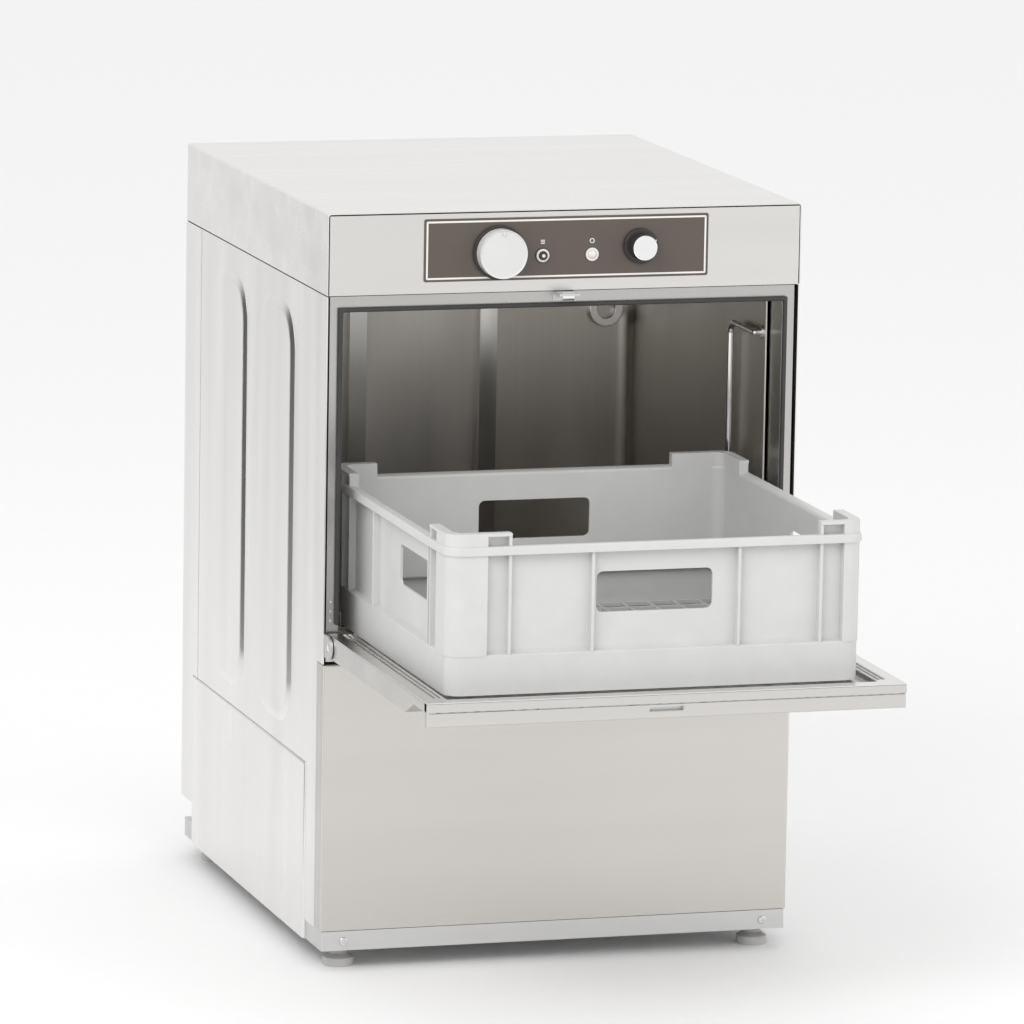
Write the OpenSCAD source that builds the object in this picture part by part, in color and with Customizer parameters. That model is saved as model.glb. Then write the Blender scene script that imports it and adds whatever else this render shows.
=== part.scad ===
// Front-loading undercounter glass washer for a 400 x 400 mm rack.
// Frame: X to the right, Y to the rear, Z up, floor at z = 0, hood centred on x = 0, y = 0.

/* [Body] */
// Width over the side panels
body_w = 470; // [460:1:480]
// Depth of the hood, front to back
body_d = 540; // [535:1:560]
// Height from the floor to the top of the hood
body_h = 730; // [728:1:740]
// Height of the hood band that carries the controls
hood_h = 78; // [76:1:80]
// Thickness of the stainless sheet
sheet = 1.2; // [1:0.1:1.4]
// Height of the top edge of the lower front panel
front_panel_top = 298; // [296:1:299]
// Height of the base rail above the feet
base_rail_h = 19; // [18:1:20]
// Height of each foot below the base rail
foot_h = 19; // [18:1:20]
// Radius of each foot's disc
foot_r = 15; // [13:0.5:17]

/* [Opening and chamber] */
// Half width of the loading opening
opening_x = 219; // [218:0.5:220]
// Height of the top edge of the loading opening
opening_top = 636; // [635:0.5:637]
// Height of the sill of the loading opening
opening_sill = 318; // [317:0.5:318]
// Half width inside the wash chamber
chamber_x = 215.5; // [215:0.5:216]
// Inner face of the chamber's rear wall
chamber_rear = 205; // [200:1:210]
// Underside of the chamber's ceiling
chamber_top = 698; // [694:1:700]

/* [Door] */
// Height of the hinge axis above the floor
hinge_z = 317; // [317:0.5:317.5]
// Hinge axis ahead of the hood's front face
hinge_ahead = 12; // [12:0.5:13]
// Half thickness of the door
door_half = 11.5; // [11:0.5:11.5]
// Half width of the door
door_x = 230.5; // [229:0.5:230.5]
// Height of the closed door's upper edge
door_closed_top = 648; // [646:1:648]
// Radius of the hinge pins
pin_r = 4; // [3.5:0.5:4.5]

/* [Rack] */
// Side length of the square rack
rack_w = 400; // [396:1:400]
// Height of the rack's rim above its base
rack_rim_h = 136; // [130:1:138]
// Height of the rack's raised corners
rack_corner_h = 150; // [142:1:151]
// Distance that the rack stands out past the hinge axis
rack_out = 288; // [285:1:289]
// Height of the rack's base above the floor
rack_z = 325; // [325:0.5:326]

/* [Arms] */
// Sweep radius of the spray arms
arm_r = 176; // [165:1:178]
// Bore radius of the spray arms
arm_bore = 9; // [8:0.5:10]
// Running clearance of shafts in their bores, on the radius
fit = 0.06; // [0.04:0.01:0.09]

/* [Controls] */
// Width of the dark control plate
plate_w = 282; // [278:1:286]
// Height of the dark control plate
plate_h = 60; // [58:1:62]
// Distance of the timer knob left of the plate's middle
timer_x = 67; // [64:1:70]
// Radius of the timer knob
timer_r = 22; // [20:0.5:23]
// Distance of the selector knob right of the plate's middle
selector_x = 73; // [70:1:76]
// Radius of the selector knob
selector_r = 17; // [15:0.5:18]

/* [Hidden] */
$fn = 48;
side_x = body_w / 2;
front_y = -body_d / 2;
rear_y = body_d / 2;
base_top = foot_h + base_rail_h;
hood_z = body_h - hood_h;
inner_x = side_x - sheet;
frame_y = front_y + 4.5;
frame_x = side_x - 4;
hinge_y = front_y - hinge_ahead;
near_edge = 11;
door_near = hinge_y + near_edge;
door_far = hinge_y - (door_closed_top - hinge_z);
door_low = hinge_z - door_half;
door_high = hinge_z + door_half;
door_floor = hinge_z + 5;
field_x = 207;
grip_start = door_far + 76;
grip_deep = door_far + 47;
grip_z = door_low + 13;
rack_front = hinge_y - rack_out;
rack_mid_y = rack_front + rack_w / 2;
rack_wall = 2.6;
arm_y = -15;
chamber_front = frame_y + 38;
chamber_floor = 262;
dome_z = 645;
dome_front = arm_y - 185;
dome_rear = arm_y + 185;
tank_x = 150;
tank_front = -170;
tank_rear = 130;
tank_z = 200;
lower_wash_z = 284;
lower_rinse_z = 302;
upper_wash_z = 668;
upper_rinse_z = 650;
hub_r = arm_bore - fit;
spindle_r = 5;
rinse_bore = spindle_r + fit;
plate_z = hood_z + 41;
pump_y = -60;
pump_z = 104;
boiler_y = 150;
boiler_z = 112;
boiler_r = 62;
inlet_x = 170;
inlet_z = 96;
drain_x = 120;
drain_z = 64;
gland_x = -160;
gland_z = 80;
cover_front = -212;
cover_rear = 225;
cover_top = 192;
flange_front = 208;
foot_in = 26;
foot_x = side_x - foot_in;
foot_front = front_y + foot_in;
foot_rear = rear_y - 45;
spindle_bore = 3;
element_x = 52;
suction_x = 96;
suction_y = 70;
hose_r = 15;
latch_x = -2;
latch_front = hinge_y - 4.3;
latch_t = 3.6;
wash_pipe_r = 8;
wash_pipe_z = 716;
rinse_pipe_r = 5.5;
rinse_pipe_z = 705;
dosing_x = 208;
dosing_y = -143;
dosing_z = 598;
dosing_end = -217;
port_x = 188;
port_z = 560;
wash_riser_x = -75;
rinse_riser_x = 62;
riser_y = chamber_rear - 7;

// ---- shared shapes ----

// A block given by its two opposite corners
module block(low, high) {
  translate(low) cube(high - low);
}

// A cylinder lying along X, from x0 to x1
module rod_x(x0, x1, y, z, r) {
  translate([x0, y, z]) rotate([0, 90, 0]) cylinder(r = r, h = x1 - x0);
}

// A cylinder lying along Y, from y0 to y1
module rod_y(x, y0, y1, z, r) {
  translate([x, y0, z]) rotate([-90, 0, 0]) cylinder(r = r, h = y1 - y0);
}

// An upright cylinder, from z0 to z1
module rod_z(x, y, z0, z1, r) {
  translate([x, y, z0]) cylinder(r = r, h = z1 - z0);
}

// A rectangle with round corners, standing in the YZ plane
module slot_yz(y0, y1, z0, z1, r) {
  hull() {
    for (y = [y0 + r, y1 - r], z = [z0 + r, z1 - r]) translate([y, z]) circle(r = r);
  }
}

// A round cornered rectangle about the origin
module rounded(w, h, r) {
  square([w - 2 * r, h], center = true);
  square([w, h - 2 * r], center = true);
  for (x = [-1, 1], y = [-1, 1]) translate([x * (w / 2 - r), y * (h / 2 - r)]) circle(r = r);
}

// Extrude a YZ outline along X, from x0 to x1
module along_x(x0, x1) {
  translate([x0, 0, 0]) rotate([90, 0, 90]) linear_extrude(height = x1 - x0) children();
}

// Extrude an XZ outline along Y, from y0 to y1
module along_y(y0, y1) {
  translate([0, y1, 0]) rotate([90, 0, 0]) linear_extrude(height = y1 - y0) children();
}

// Left and right copies of one half
module both_sides() {
  children();
  mirror([1, 0, 0]) children();
}

// ---- cabinet ----

// Folded base rails, a tray for the machinery, and a threaded boss over each foot
module base_frame() {
  rail_x = side_x - 2;
  color("gainsboro") difference() {
    union() {
      difference() {
        block([-rail_x, front_y, foot_h], [rail_x, rear_y - 8, base_top]);
        block([-rail_x + 2, front_y + 2, foot_h - 1], [rail_x - 2, rear_y - 10, base_top - 2]);
      }
      for (x = [-foot_x, foot_x], y = [foot_front, foot_rear])
        rod_z(x, y, foot_h + 0.5, base_top - 1, 10);
    }
    for (x = [-foot_x, foot_x], y = [foot_front, foot_rear])
      rod_z(x, y, foot_h - 1, base_top + 1, 5 + fit);
    for (x = [-side_x + 24, side_x - 24]) rod_y(x, front_y - 1, front_y + 4, foot_h + 9, 2);
  }
}

// The two pressed stiffening fields of a side panel, raised by one sheet thickness
module pressed_fields(x0, x1) {
  along_x(x0, x1) {
    slot_yz(25, 160, 213, 625, 45);
    slot_yz(-155, -20, 213, 625, 45);
  }
}

// One side panel: flat sheet above the front panel's fold, pressed fields, inner fold at the front
module side_sheet(low_front, low_rear) {
  difference() {
    union() {
      along_x(inner_x - 0.2, side_x - 0.2) polygon([
        [front_y + 1, front_panel_top + 0.5], [front_y + 1, hood_z - 1], [flange_front - 0.5, hood_z - 1],
        [flange_front - 0.5, cover_top + 0.6], [low_rear, cover_top + 0.6], [low_rear, base_top + 0.5],
        [low_front, base_top + 0.5], [low_front, front_panel_top + 0.5]
      ]);
      pressed_fields(side_x - 1, side_x + 0.6);
    }
    pressed_fields(inner_x - 1, side_x - 1);
  }
}

module right_side_panel() {
  color("lightgrey") side_sheet(front_y + 20.5, flange_front - 0.5);
}

// The left panel leaves the machine bay open behind a removable cover
module left_side_panel() {
  color("lightgrey") mirror([1, 0, 0]) difference() {
    side_sheet(front_y + 20.5, flange_front - 0.5);
    block([inner_x - 2, cover_front - 0.5, base_top], [side_x + 1, flange_front, cover_top + 0.6]);
  }
}

// Lift-off cover over the machine bay, with its edges folded in
module service_cover() {
  color("whitesmoke") mirror([1, 0, 0]) difference() {
    block([side_x - 8, cover_front, foot_h], [side_x + 0.8, cover_rear, cover_top]);
    block([side_x - 9, cover_front + sheet, foot_h - 1],
          [side_x - 0.4, cover_rear - sheet, cover_top - sheet]);
    block([side_x - 9, cover_front - 1, foot_h - 1], [side_x - 1.8, cover_rear + 1, base_top + 0.5]);
    block([side_x - 9, cover_rear - 30, foot_h - 1], [side_x - 1, cover_rear + 1, cover_top + 1]);
  }
}

// Lower front panel, folded round both front corners, with a stiffening fold along its top
module front_panel() {
  color("silver") difference() {
    block([-side_x + 0.2, front_y, base_top + 0.5], [side_x - 0.2, front_y + 20, front_panel_top]);
    block([-inner_x + 0.2, front_y + sheet, base_top],
          [inner_x - 0.2, front_y + 21, front_panel_top - sheet]);
    block([-inner_x + 6, front_y + 12, front_panel_top - 5],
          [inner_x - 6, front_y + 21, front_panel_top + 1]);
  }
}

// Back sheet with a flange folded forward on each side; it stops above the base for the hoses
module back_panel() {
  back_low = 60;
  color("gainsboro") difference() {
    block([-side_x, flange_front, back_low], [side_x, rear_y + 2, hood_z - 1]);
    block([-inner_x, flange_front - 1, back_low - 1], [inner_x, rear_y + 2 - sheet, hood_z]);
    block([-side_x - 5, flange_front - 1, back_low - 1],
          [-side_x + 5, cover_rear + 0.8, cover_top + 0.6]);
    for (s = [[inlet_x, inlet_z, 15], [drain_x, drain_z, 16], [gland_x, gland_z, 8.5]])
      rod_y(s[0], rear_y - 5, rear_y + 5, s[1], s[2]);
    for (z = [250 : 14 : 320]) block([-60, rear_y - 5, z], [60, rear_y + 5, z + 4]);
  }
}

// Top, sides and back of the hood, drawn from one sheet
module hood() {
  color("whitesmoke") difference() {
    block([-side_x, front_y, hood_z], [side_x, rear_y, body_h]);
    block([-inner_x, front_y - 1, hood_z - 1], [inner_x, rear_y - sheet, body_h - sheet]);
  }
}

// Inset front sheet of the hood, folded back along its lower edge
module fascia() {
  plug_x = 0.8;
  color("silver") difference() {
    union() {
      block([-inner_x + plug_x, front_y, hood_z], [inner_x - plug_x, front_y + sheet, body_h - sheet - 1]);
      block([-inner_x + plug_x, front_y + sheet, hood_z], [inner_x - plug_x, frame_y - 1, hood_z + sheet]);
    }
    rod_y(-timer_x, front_y - 1, front_y + 3, plate_z - 3, 5);
    rod_y(selector_x, front_y - 1, front_y + 3, plate_z, 5);
    for (x = [-24, 25]) rod_y(x, front_y - 1, front_y + 3, plate_z - 7, 5.5);
  }
}

// Dark printed plate on the fascia, behind the knobs, button and lamp
module control_plate() {
  color([0.32, 0.28, 0.26]) difference() {
    block([-plate_w / 2, front_y - 0.8, plate_z - plate_h / 2],
          [plate_w / 2, front_y, plate_z + plate_h / 2]);
    rod_y(-timer_x, front_y - 2, front_y + 2, plate_z - 3, 5);
    rod_y(selector_x, front_y - 2, front_y + 2, plate_z, 5);
    for (x = [-24, 25]) rod_y(x, front_y - 2, front_y + 2, plate_z - 7, 5.5);
  }
}

// Folded frame round the loading opening
module door_frame() {
  fold = 36;
  color("silver") difference() {
    block([-frame_x, frame_y, front_panel_top + 2], [frame_x, frame_y + fold, hood_z - 1]);
    block([-frame_x + sheet, frame_y + sheet, front_panel_top],
          [frame_x - sheet, frame_y + fold + 1, hood_z]);
    block([-opening_x, frame_y - 1, opening_sill], [opening_x, frame_y + fold, opening_top]);
  }
  color("silver") difference() {
    block([-opening_x - sheet, frame_y + sheet, opening_sill - sheet],
          [opening_x + sheet, frame_y + fold, opening_top + sheet]);
    block([-opening_x, frame_y, opening_sill], [opening_x, frame_y + fold + 1, opening_top]);
  }
}

// Rubber seal up both jambs and along the top
module door_gasket() {
  seal = 4;
  color("black") difference() {
    block([-opening_x - seal, frame_y - 4.6, 336], [opening_x + seal, frame_y, opening_top + seal]);
    block([-opening_x, frame_y - 7, 330], [opening_x, frame_y + 1, opening_top]);
  }
}

// ---- wash chamber ----

// Deep-drawn box with a raised dome for the upper arms, open above its sill and over the tank
module wash_chamber() {
  x1 = chamber_x + sheet;
  color("grey") difference() {
    union() {
      block([-x1, chamber_front - sheet, chamber_floor - sheet], [x1, chamber_rear + sheet, dome_z + sheet]);
      block([-arm_r - 12, dome_front - sheet, dome_z], [arm_r + 12, dome_rear + sheet, chamber_top + sheet]);
    }
    block([-chamber_x, chamber_front, chamber_floor], [chamber_x, chamber_rear, dome_z]);
    block([-chamber_x, chamber_front - 2, opening_sill - sheet], [chamber_x, chamber_rear, dome_z]);
    block([-arm_r - 12 + sheet, dome_front, dome_z - 2], [arm_r + 12 - sheet, dome_rear, chamber_top]);
    block([-tank_x, tank_front, chamber_floor - 5], [tank_x, tank_rear, chamber_floor + 1]);
    rod_z(0, arm_y, chamber_top - 1, chamber_top + 3, 13.7);
    rod_z(wash_riser_x, riser_y, dome_z - 1, dome_z + 3, wash_pipe_r + 0.2);
    rod_z(rinse_riser_x, riser_y, dome_z - 1, dome_z + 3, rinse_pipe_r + 0.2);
    rod_y(port_x, chamber_rear - 1, chamber_rear + 3, port_z, 12);
    rod_x(chamber_x - 1, x1 + 1, dosing_end, dosing_z, 3.2);
  }
}

// Tank below the chamber floor, with a rim folded out under it
module wash_tank() {
  rim = 10;
  color("darkgrey") difference() {
    union() {
      block([-tank_x, tank_front, tank_z], [tank_x, tank_rear, chamber_floor - sheet]);
      block([-tank_x - rim, tank_front - rim, chamber_floor - 2 * sheet - 0.2],
            [tank_x + rim, tank_rear + rim, chamber_floor - sheet]);
    }
    block([-tank_x + sheet, tank_front + sheet, tank_z + sheet],
          [tank_x - sheet, tank_rear - sheet, chamber_floor]);
    rod_z(0, arm_y, tank_z - 1, tank_z + 2, 14);
    rod_z(suction_x, suction_y, tank_z - 1, tank_z + 2, hose_r + 1);
    rod_z(-96, -110, tank_z - 1, tank_z + 2, 13);
    for (x = [-element_x, element_x]) rod_y(x, tank_rear - 2, tank_rear + 1, 222, 4.5);
  }
}

// Angle rails that carry and guide the rack inside the chamber
module rack_rails() {
  rail_front = chamber_front + 6;
  color("silver") both_sides() {
    block([190, rail_front, rack_z - 2.5], [chamber_x, chamber_rear - 8, rack_z - 0.5]);
    block([rack_w / 2 + 3.5, rail_front, rack_z - 0.5], [rack_w / 2 + 5.5, chamber_rear - 8, rack_z + 14]);
    block([190, rail_front + 4, rack_z - 10], [192, chamber_rear - 8, rack_z - 2.5]);
  }
}

// Flat strainer sheet over the tank
module tank_filter() {
  color("silver") difference() {
    block([-tank_x - 16, tank_front - 16, chamber_floor], [tank_x + 16, tank_rear + 16, chamber_floor + 1.6]);
    rod_z(0, arm_y, chamber_floor - 1, chamber_floor + 3, 19);
    rod_z(suction_x, suction_y, chamber_floor - 1, chamber_floor + 3, 36);
    rod_z(-96, -110, chamber_floor - 1, chamber_floor + 3, 16);
  }
}

// Removable cup strainer over the pump's suction port
module pump_strainer() {
  color("grey") translate([suction_x, suction_y, 0]) difference() {
    rod_z(0, 0, tank_z + sheet, chamber_floor + 6, 34);
    rod_z(0, 0, tank_z + sheet + 2, chamber_floor + 7, 32);
    rod_z(0, 0, tank_z, tank_z + 8, 16);
    for (a = [0 : 30 : 150], z = [tank_z + 12 : 12 : chamber_floor - 8])
      rotate(a) block([-40, -3, z], [40, 3, z + 5]);
  }
}

// Lift-out standpipe that sets the water level and drains the tank
module overflow_pipe() {
  color("grey") translate([-96, -110, 0]) difference() {
    union() {
      rod_z(0, 0, tank_z - 9, 268, 12);
      rod_z(0, 0, tank_z + sheet, tank_z + sheet + 5, 16);
    }
    rod_z(0, 0, tank_z - 10, 262, 9.5);
    for (a = [0, 90]) rotate(a) block([-20, -4, 246], [20, 4, 256]);
  }
}

// Hairpin element in the tank and the coiled one in the boiler
module heating_elements() {
  color("dimgrey") {
    for (x = [-element_x, element_x]) {
      rod_y(x, -100, tank_rear + 14, 222, 4);
      translate([x, -100, 222]) sphere(r = 4);
    }
    rod_x(-element_x, element_x, -100, 222, 4);
    for (z = [-22, 22]) rod_x(-150, 92, boiler_y, boiler_z + z, 4);
    rod_z(-150, boiler_y, boiler_z - 22, boiler_z + 22, 4);
    rod_x(80, 86, boiler_y, boiler_z, 34);
  }
}

// Thin bent tube that doses detergent down the right wall
module dosing_tube() {
  r = 3;
  bend = 12;
  color("silver") {
    rod_z(dosing_x, dosing_y, 360, dosing_z - bend, r);
    translate([dosing_x, dosing_y - bend, dosing_z - bend]) rotate([90, 0, 90])
      rotate_extrude(angle = 90) translate([bend, 0]) circle(r = r);
    rod_y(dosing_x, dosing_end, dosing_y - bend, dosing_z, r);
    translate([dosing_x, dosing_end, dosing_z]) sphere(r = r);
    rod_x(dosing_x, chamber_x + 6, dosing_end, dosing_z, r);
    rod_x(chamber_x - 2.5, chamber_x, dosing_end, dosing_z, 6);
  }
}

// Screwed ring of the overflow and vent port in the rear wall
module port_ring() {
  color("grey") difference() {
    union() {
      rod_y(port_x, chamber_rear - 7, chamber_rear, port_z, 18);
      rod_y(port_x, chamber_rear, chamber_rear + 14, port_z, 11.9);
    }
    rod_y(port_x, chamber_rear - 8, chamber_rear + 15, port_z, 9);
  }
}

// The two spindles that the arms turn on, one stood in the tank and one hung from the dome.
// Each is a wash socket with the rinse spigot through it.
module arm_hubs() {
  color("grey") difference() {
    union() {
      rod_z(0, arm_y, tank_z - 24, tank_z + sheet, 13.5);
      rod_z(0, arm_y, tank_z + sheet, lower_wash_z - 3, 18);
      rod_z(0, arm_y, lower_wash_z - 3, lower_wash_z + 14.5, hub_r);
      rod_z(0, arm_y, lower_wash_z + 14.5, lower_rinse_z + 14, spindle_r);
    }
    rod_z(0, arm_y, tank_z - 25, lower_rinse_z + 10, 3);
  }
  color("grey") difference() {
    union() {
      rod_z(0, arm_y, upper_wash_z + 17, chamber_top + 8, 13.5);
      rod_z(0, arm_y, upper_wash_z - 1.5, upper_wash_z + 17, hub_r);
      rod_z(0, arm_y, upper_rinse_z - 3, upper_wash_z - 1.5, spindle_r);
    }
    rod_z(0, arm_y, upper_rinse_z + 1, chamber_top + 9, 3);
  }
}

// A spray arm: flat tube with round ends, a hub boss, a bore and a row of jet holes
module spray_arm(z, h, w, bore, jets) {
  reach = arm_r - w / 2;
  translate([0, arm_y, z]) difference() {
    union() {
      translate([-reach, -w / 2, 0]) cube([2 * reach, w, h]);
      for (x = [-reach, reach]) translate([x, 0, 0]) cylinder(d = w, h = h);
      cylinder(r = bore + 8, h = h);
    }
    translate([0, 0, -1]) cylinder(r = bore, h = h + 2);
    for (i = [0 : jets - 1], s = [-1, 1])
      translate([s * (reach - i * (reach - 34) / (jets - 1)), 0, -1]) cylinder(r = 1.8, h = h + 2);
  }
}

module lower_wash_arm() {
  color("silver") spray_arm(lower_wash_z, 13, 34, arm_bore, 6);
}

module lower_rinse_arm() {
  color("gainsboro") rotate_about_arm(64) spray_arm(lower_rinse_z, 9, 16, rinse_bore, 5);
}

module upper_wash_arm() {
  color("silver") rotate_about_arm(20) spray_arm(upper_wash_z, 13, 34, arm_bore, 6);
}

module upper_rinse_arm() {
  color("gainsboro") rotate_about_arm(100) spray_arm(upper_rinse_z, 9, 16, rinse_bore, 5);
}

// Turn about the arms' common axis
module rotate_about_arm(angle) {
  translate([0, arm_y, 0]) rotate(angle) translate([0, -arm_y, 0]) children();
}

// A flat duct up the rear wall, then a pipe out through the ceiling and forward over the dome
module riser(x, pipe_r, top_z) {
  duct = 9;
  block([x - duct, chamber_rear - 12, chamber_floor + 2], [x + duct, chamber_rear, dome_z]);
  rod_z(x, riser_y, dome_z - 1, top_z, pipe_r);
  translate([x, riser_y, top_z]) sphere(r = pipe_r);
  rod_y(x, arm_y, riser_y, top_z, pipe_r);
  translate([x, arm_y, top_z]) sphere(r = pipe_r);
}

module wash_riser() {
  color("silver") {
    riser(wash_riser_x, wash_pipe_r, wash_pipe_z);
    rod_x(wash_riser_x, 0, arm_y, wash_pipe_z, wash_pipe_r);
    rod_z(0, arm_y, chamber_top + 8, wash_pipe_z, wash_pipe_r);
    translate([0, arm_y, wash_pipe_z]) sphere(r = wash_pipe_r);
  }
}

module rinse_pipe() {
  color("silver") {
    riser(rinse_riser_x, rinse_pipe_r, rinse_pipe_z);
    rod_x(13.5, rinse_riser_x, arm_y, rinse_pipe_z, 3.5);
  }
}

// ---- machine bay ----

// Motor of the wash pump, on its foot
module pump_motor() {
  color("dimgrey") difference() {
    union() {
      rod_x(-188, -42, pump_y, pump_z, 46);
      rod_x(-42, -38, pump_y, pump_z, 60);
      block([-150, pump_y - 30, base_top], [-80, pump_y + 30, pump_z - 30]);
      block([-130, pump_y - 26, pump_z + 34], [-90, pump_y + 26, pump_z + 62]);
    }
    for (x = [-180 : 12 : -156]) difference() {
      rod_x(x, x + 5, pump_y, pump_z, 47);
      rod_x(x - 1, x + 6, pump_y, pump_z, 42);
    }
    rod_x(-60, -37, pump_y, pump_z, 5 + fit);
  }
}

// Volute of the wash pump with its suction eye and delivery stub
module pump_volute() {
  color("grey") difference() {
    union() {
      rod_x(-38, 2, pump_y, pump_z, 60);
      rod_x(2, 22, pump_y, pump_z, 18);
      rod_z(-18, arm_y, pump_z + 30, tank_z - 40, 12);
    }
    rod_x(-39, -3, pump_y, pump_z, 55);
    rod_x(-4, 23, pump_y, pump_z, 14);
    rod_z(-18, arm_y, pump_z + 20, tank_z - 39, 9);
  }
}

// Impeller with its shaft, turning in the motor's bearing
module pump_impeller() {
  color("white") {
    rod_x(-36, -32, pump_y, pump_z, 46);
    rod_x(-58, -14, pump_y, pump_z, 5);
    rod_x(-32, -16, pump_y, pump_z, 12);
    for (a = [0 : 60 : 300]) translate([-32, pump_y, pump_z]) rotate([a, 0, 0])
      block([0, 10, -2], [22, 44, 2]);
  }
}

// A quarter turn of the suction hose in a level plane, from one heading to the next
module hose_bend(x, y, z, bend, from) {
  translate([x, y, z]) rotate(from) rotate_extrude(angle = 90) translate([bend, 0]) circle(r = hose_r);
}

// Suction hose from the tank's strainer to the volute, and delivery hose up to the lower arms
module hoses() {
  bend = 22;
  stub_x = 22;
  color([0.18, 0.18, 0.19]) {
    rod_z(suction_x, suction_y, pump_z + bend, tank_z, hose_r);
    translate([suction_x - bend, suction_y, pump_z + bend]) rotate([90, 0, 0])
      rotate_extrude(angle = -90) translate([bend, 0]) circle(r = hose_r);
    rod_x(stub_x + 2 * bend, suction_x - bend, suction_y, pump_z, hose_r);
    hose_bend(stub_x + 2 * bend, suction_y - bend, pump_z, bend, 90);
    rod_y(stub_x + bend, pump_y + bend, suction_y - bend, pump_z, hose_r);
    hose_bend(stub_x, pump_y + bend, pump_z, bend, -90);
    hull() {
      rod_z(-18, arm_y, tank_z - 40, tank_z - 37, 13);
      rod_z(0, arm_y, tank_z - 26, tank_z - 24, 13);
    }
  }
}

// Insulated pressure boiler for the rinse water, lying across the bay on two feet
module boiler() {
  color("silver") difference() {
    union() {
      rod_x(-160, 80, boiler_y, boiler_z, boiler_r);
      for (x = [-130, 50]) block([x, boiler_y - 40, base_top], [x + 10, boiler_y + 40, boiler_z - 44]);
      rod_z(40, boiler_y, boiler_z + boiler_r - 4, boiler_z + boiler_r + 14, 8);
    }
    rod_x(-158, 78, boiler_y, boiler_z, boiler_r - 2);
    for (z = [-22, 22]) rod_x(77, 81, boiler_y, boiler_z + z, 4);
  }
}

// Inlet valve: threaded water connection through the back, body, coil and outlet
module solenoid_valve() {
  color("white") difference() {
    union() {
      rod_y(inlet_x, 214, rear_y + 20, inlet_z, 13.2);
      rod_y(inlet_x, 232, rear_y - 4, inlet_z, 20);
      rod_y(inlet_x, rear_y + 2.2, rear_y + 5, inlet_z, 18);
      block([inlet_x - 15, 196, inlet_z - 15], [inlet_x + 15, 232, inlet_z + 15]);
      rod_z(inlet_x, 214, inlet_z + 15, inlet_z + 52, 15);
      rod_y(inlet_x, 176, 196, inlet_z, 7);
    }
    rod_y(inlet_x, 170, rear_y + 21, inlet_z, 4.5);
  }
}

// Drain pump with its outlet spigot through the back
module drain_pump() {
  color("white") difference() {
    union() {
      rod_y(drain_x, 205, rear_y + 32, drain_z, 12);
      rod_y(drain_x, 196, 205, drain_z, 22);
      rod_y(drain_x, 192, 196, drain_z, 25);
      rod_y(drain_x, rear_y + 2.2, rear_y + 5, drain_z, 17);
    }
    rod_y(drain_x, 199, rear_y + 33, drain_z, 9);
  }
}

// Peristaltic pump that doses the detergent
module detergent_pump() {
  color("white") {
    block([150, -150, base_top], [200, -80, base_top + 62]);
    rod_y(175, -170, -150, base_top + 34, 22);
  }
}

// Wiring box with the contactors and the terminal block
module electrics_box() {
  x0 = -205;
  x1 = -75;
  y0 = -235;
  y1 = -130;
  color("grey") difference() {
    block([x0, y0, base_top], [x1, y1, 160]);
    block([x0 + 2, y0 + 2, base_top + 2], [x1 - 2, y1 - 2, 161]);
  }
  color("ivory") for (x = [x0 + 10 : 38 : x1 - 40]) {
    block([x, y0 + 20, base_top + 2], [x + 30, y0 + 70, base_top + 70]);
    for (k = [4, 14, 24]) block([x + k - 2, y0 + 24, base_top + 70], [x + k + 2, y0 + 34, base_top + 74]);
  }
  color("dimgrey") block([x0 + 6, y1 - 24, base_top + 2], [x1 - 6, y1 - 6, base_top + 26]);
}

// Diaphragm switch that senses the tank's level
module pressure_switch() {
  color("whitesmoke") {
    rod_x(196, 206, 20, 150, 30);
    rod_x(190, 196, 20, 150, 22);
    rod_x(182, 190, 20, 150, 4);
    block([206, -2, 132], [inner_x - 0.5, 42, 168]);
  }
}

// Gland that the supply cord would enter by
module cable_gland() {
  color("black") difference() {
    union() {
      rod_y(gland_x, rear_y - 14, rear_y + 12, gland_z, 8.2);
      rod_y(gland_x, rear_y + 2, rear_y + 7, gland_z, 13);
      rod_y(gland_x, rear_y - 6, rear_y + 0.8, gland_z, 12);
    }
    rod_y(gland_x, rear_y - 15, rear_y + 13, gland_z, 5);
  }
}

// ---- door ----

// Ears fixed inside the side panels that hold the hinge pins
module hinge_brackets() {
  ear = 11;
  color("dimgrey") both_sides() difference() {
    along_x(frame_x + 0.3, frame_x + 2.5) {
      translate([hinge_y, hinge_z]) circle(r = ear);
      translate([hinge_y, hinge_z - ear]) square([frame_y + 20 - hinge_y, 2 * ear]);
    }
    rod_x(frame_x - 1, frame_x + 4, hinge_y, hinge_z, pin_r + fit);
  }
}

// Headless pins in the brackets and the door's blocks
module hinge_pins() {
  color("silver") both_sides() rod_x(frame_x - 20, frame_x + 2.5, hinge_y, hinge_z, pin_r);
}

// Bearing blocks inside the two hinge corners of the door
module door_hinge_blocks() {
  color("dimgrey") both_sides() difference() {
    block([208, door_near - 20, door_low + sheet], [door_x - sheet, door_near - sheet, door_floor - sheet]);
    rod_x(207, door_x, hinge_y, hinge_z, pin_r + fit);
  }
}

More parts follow.
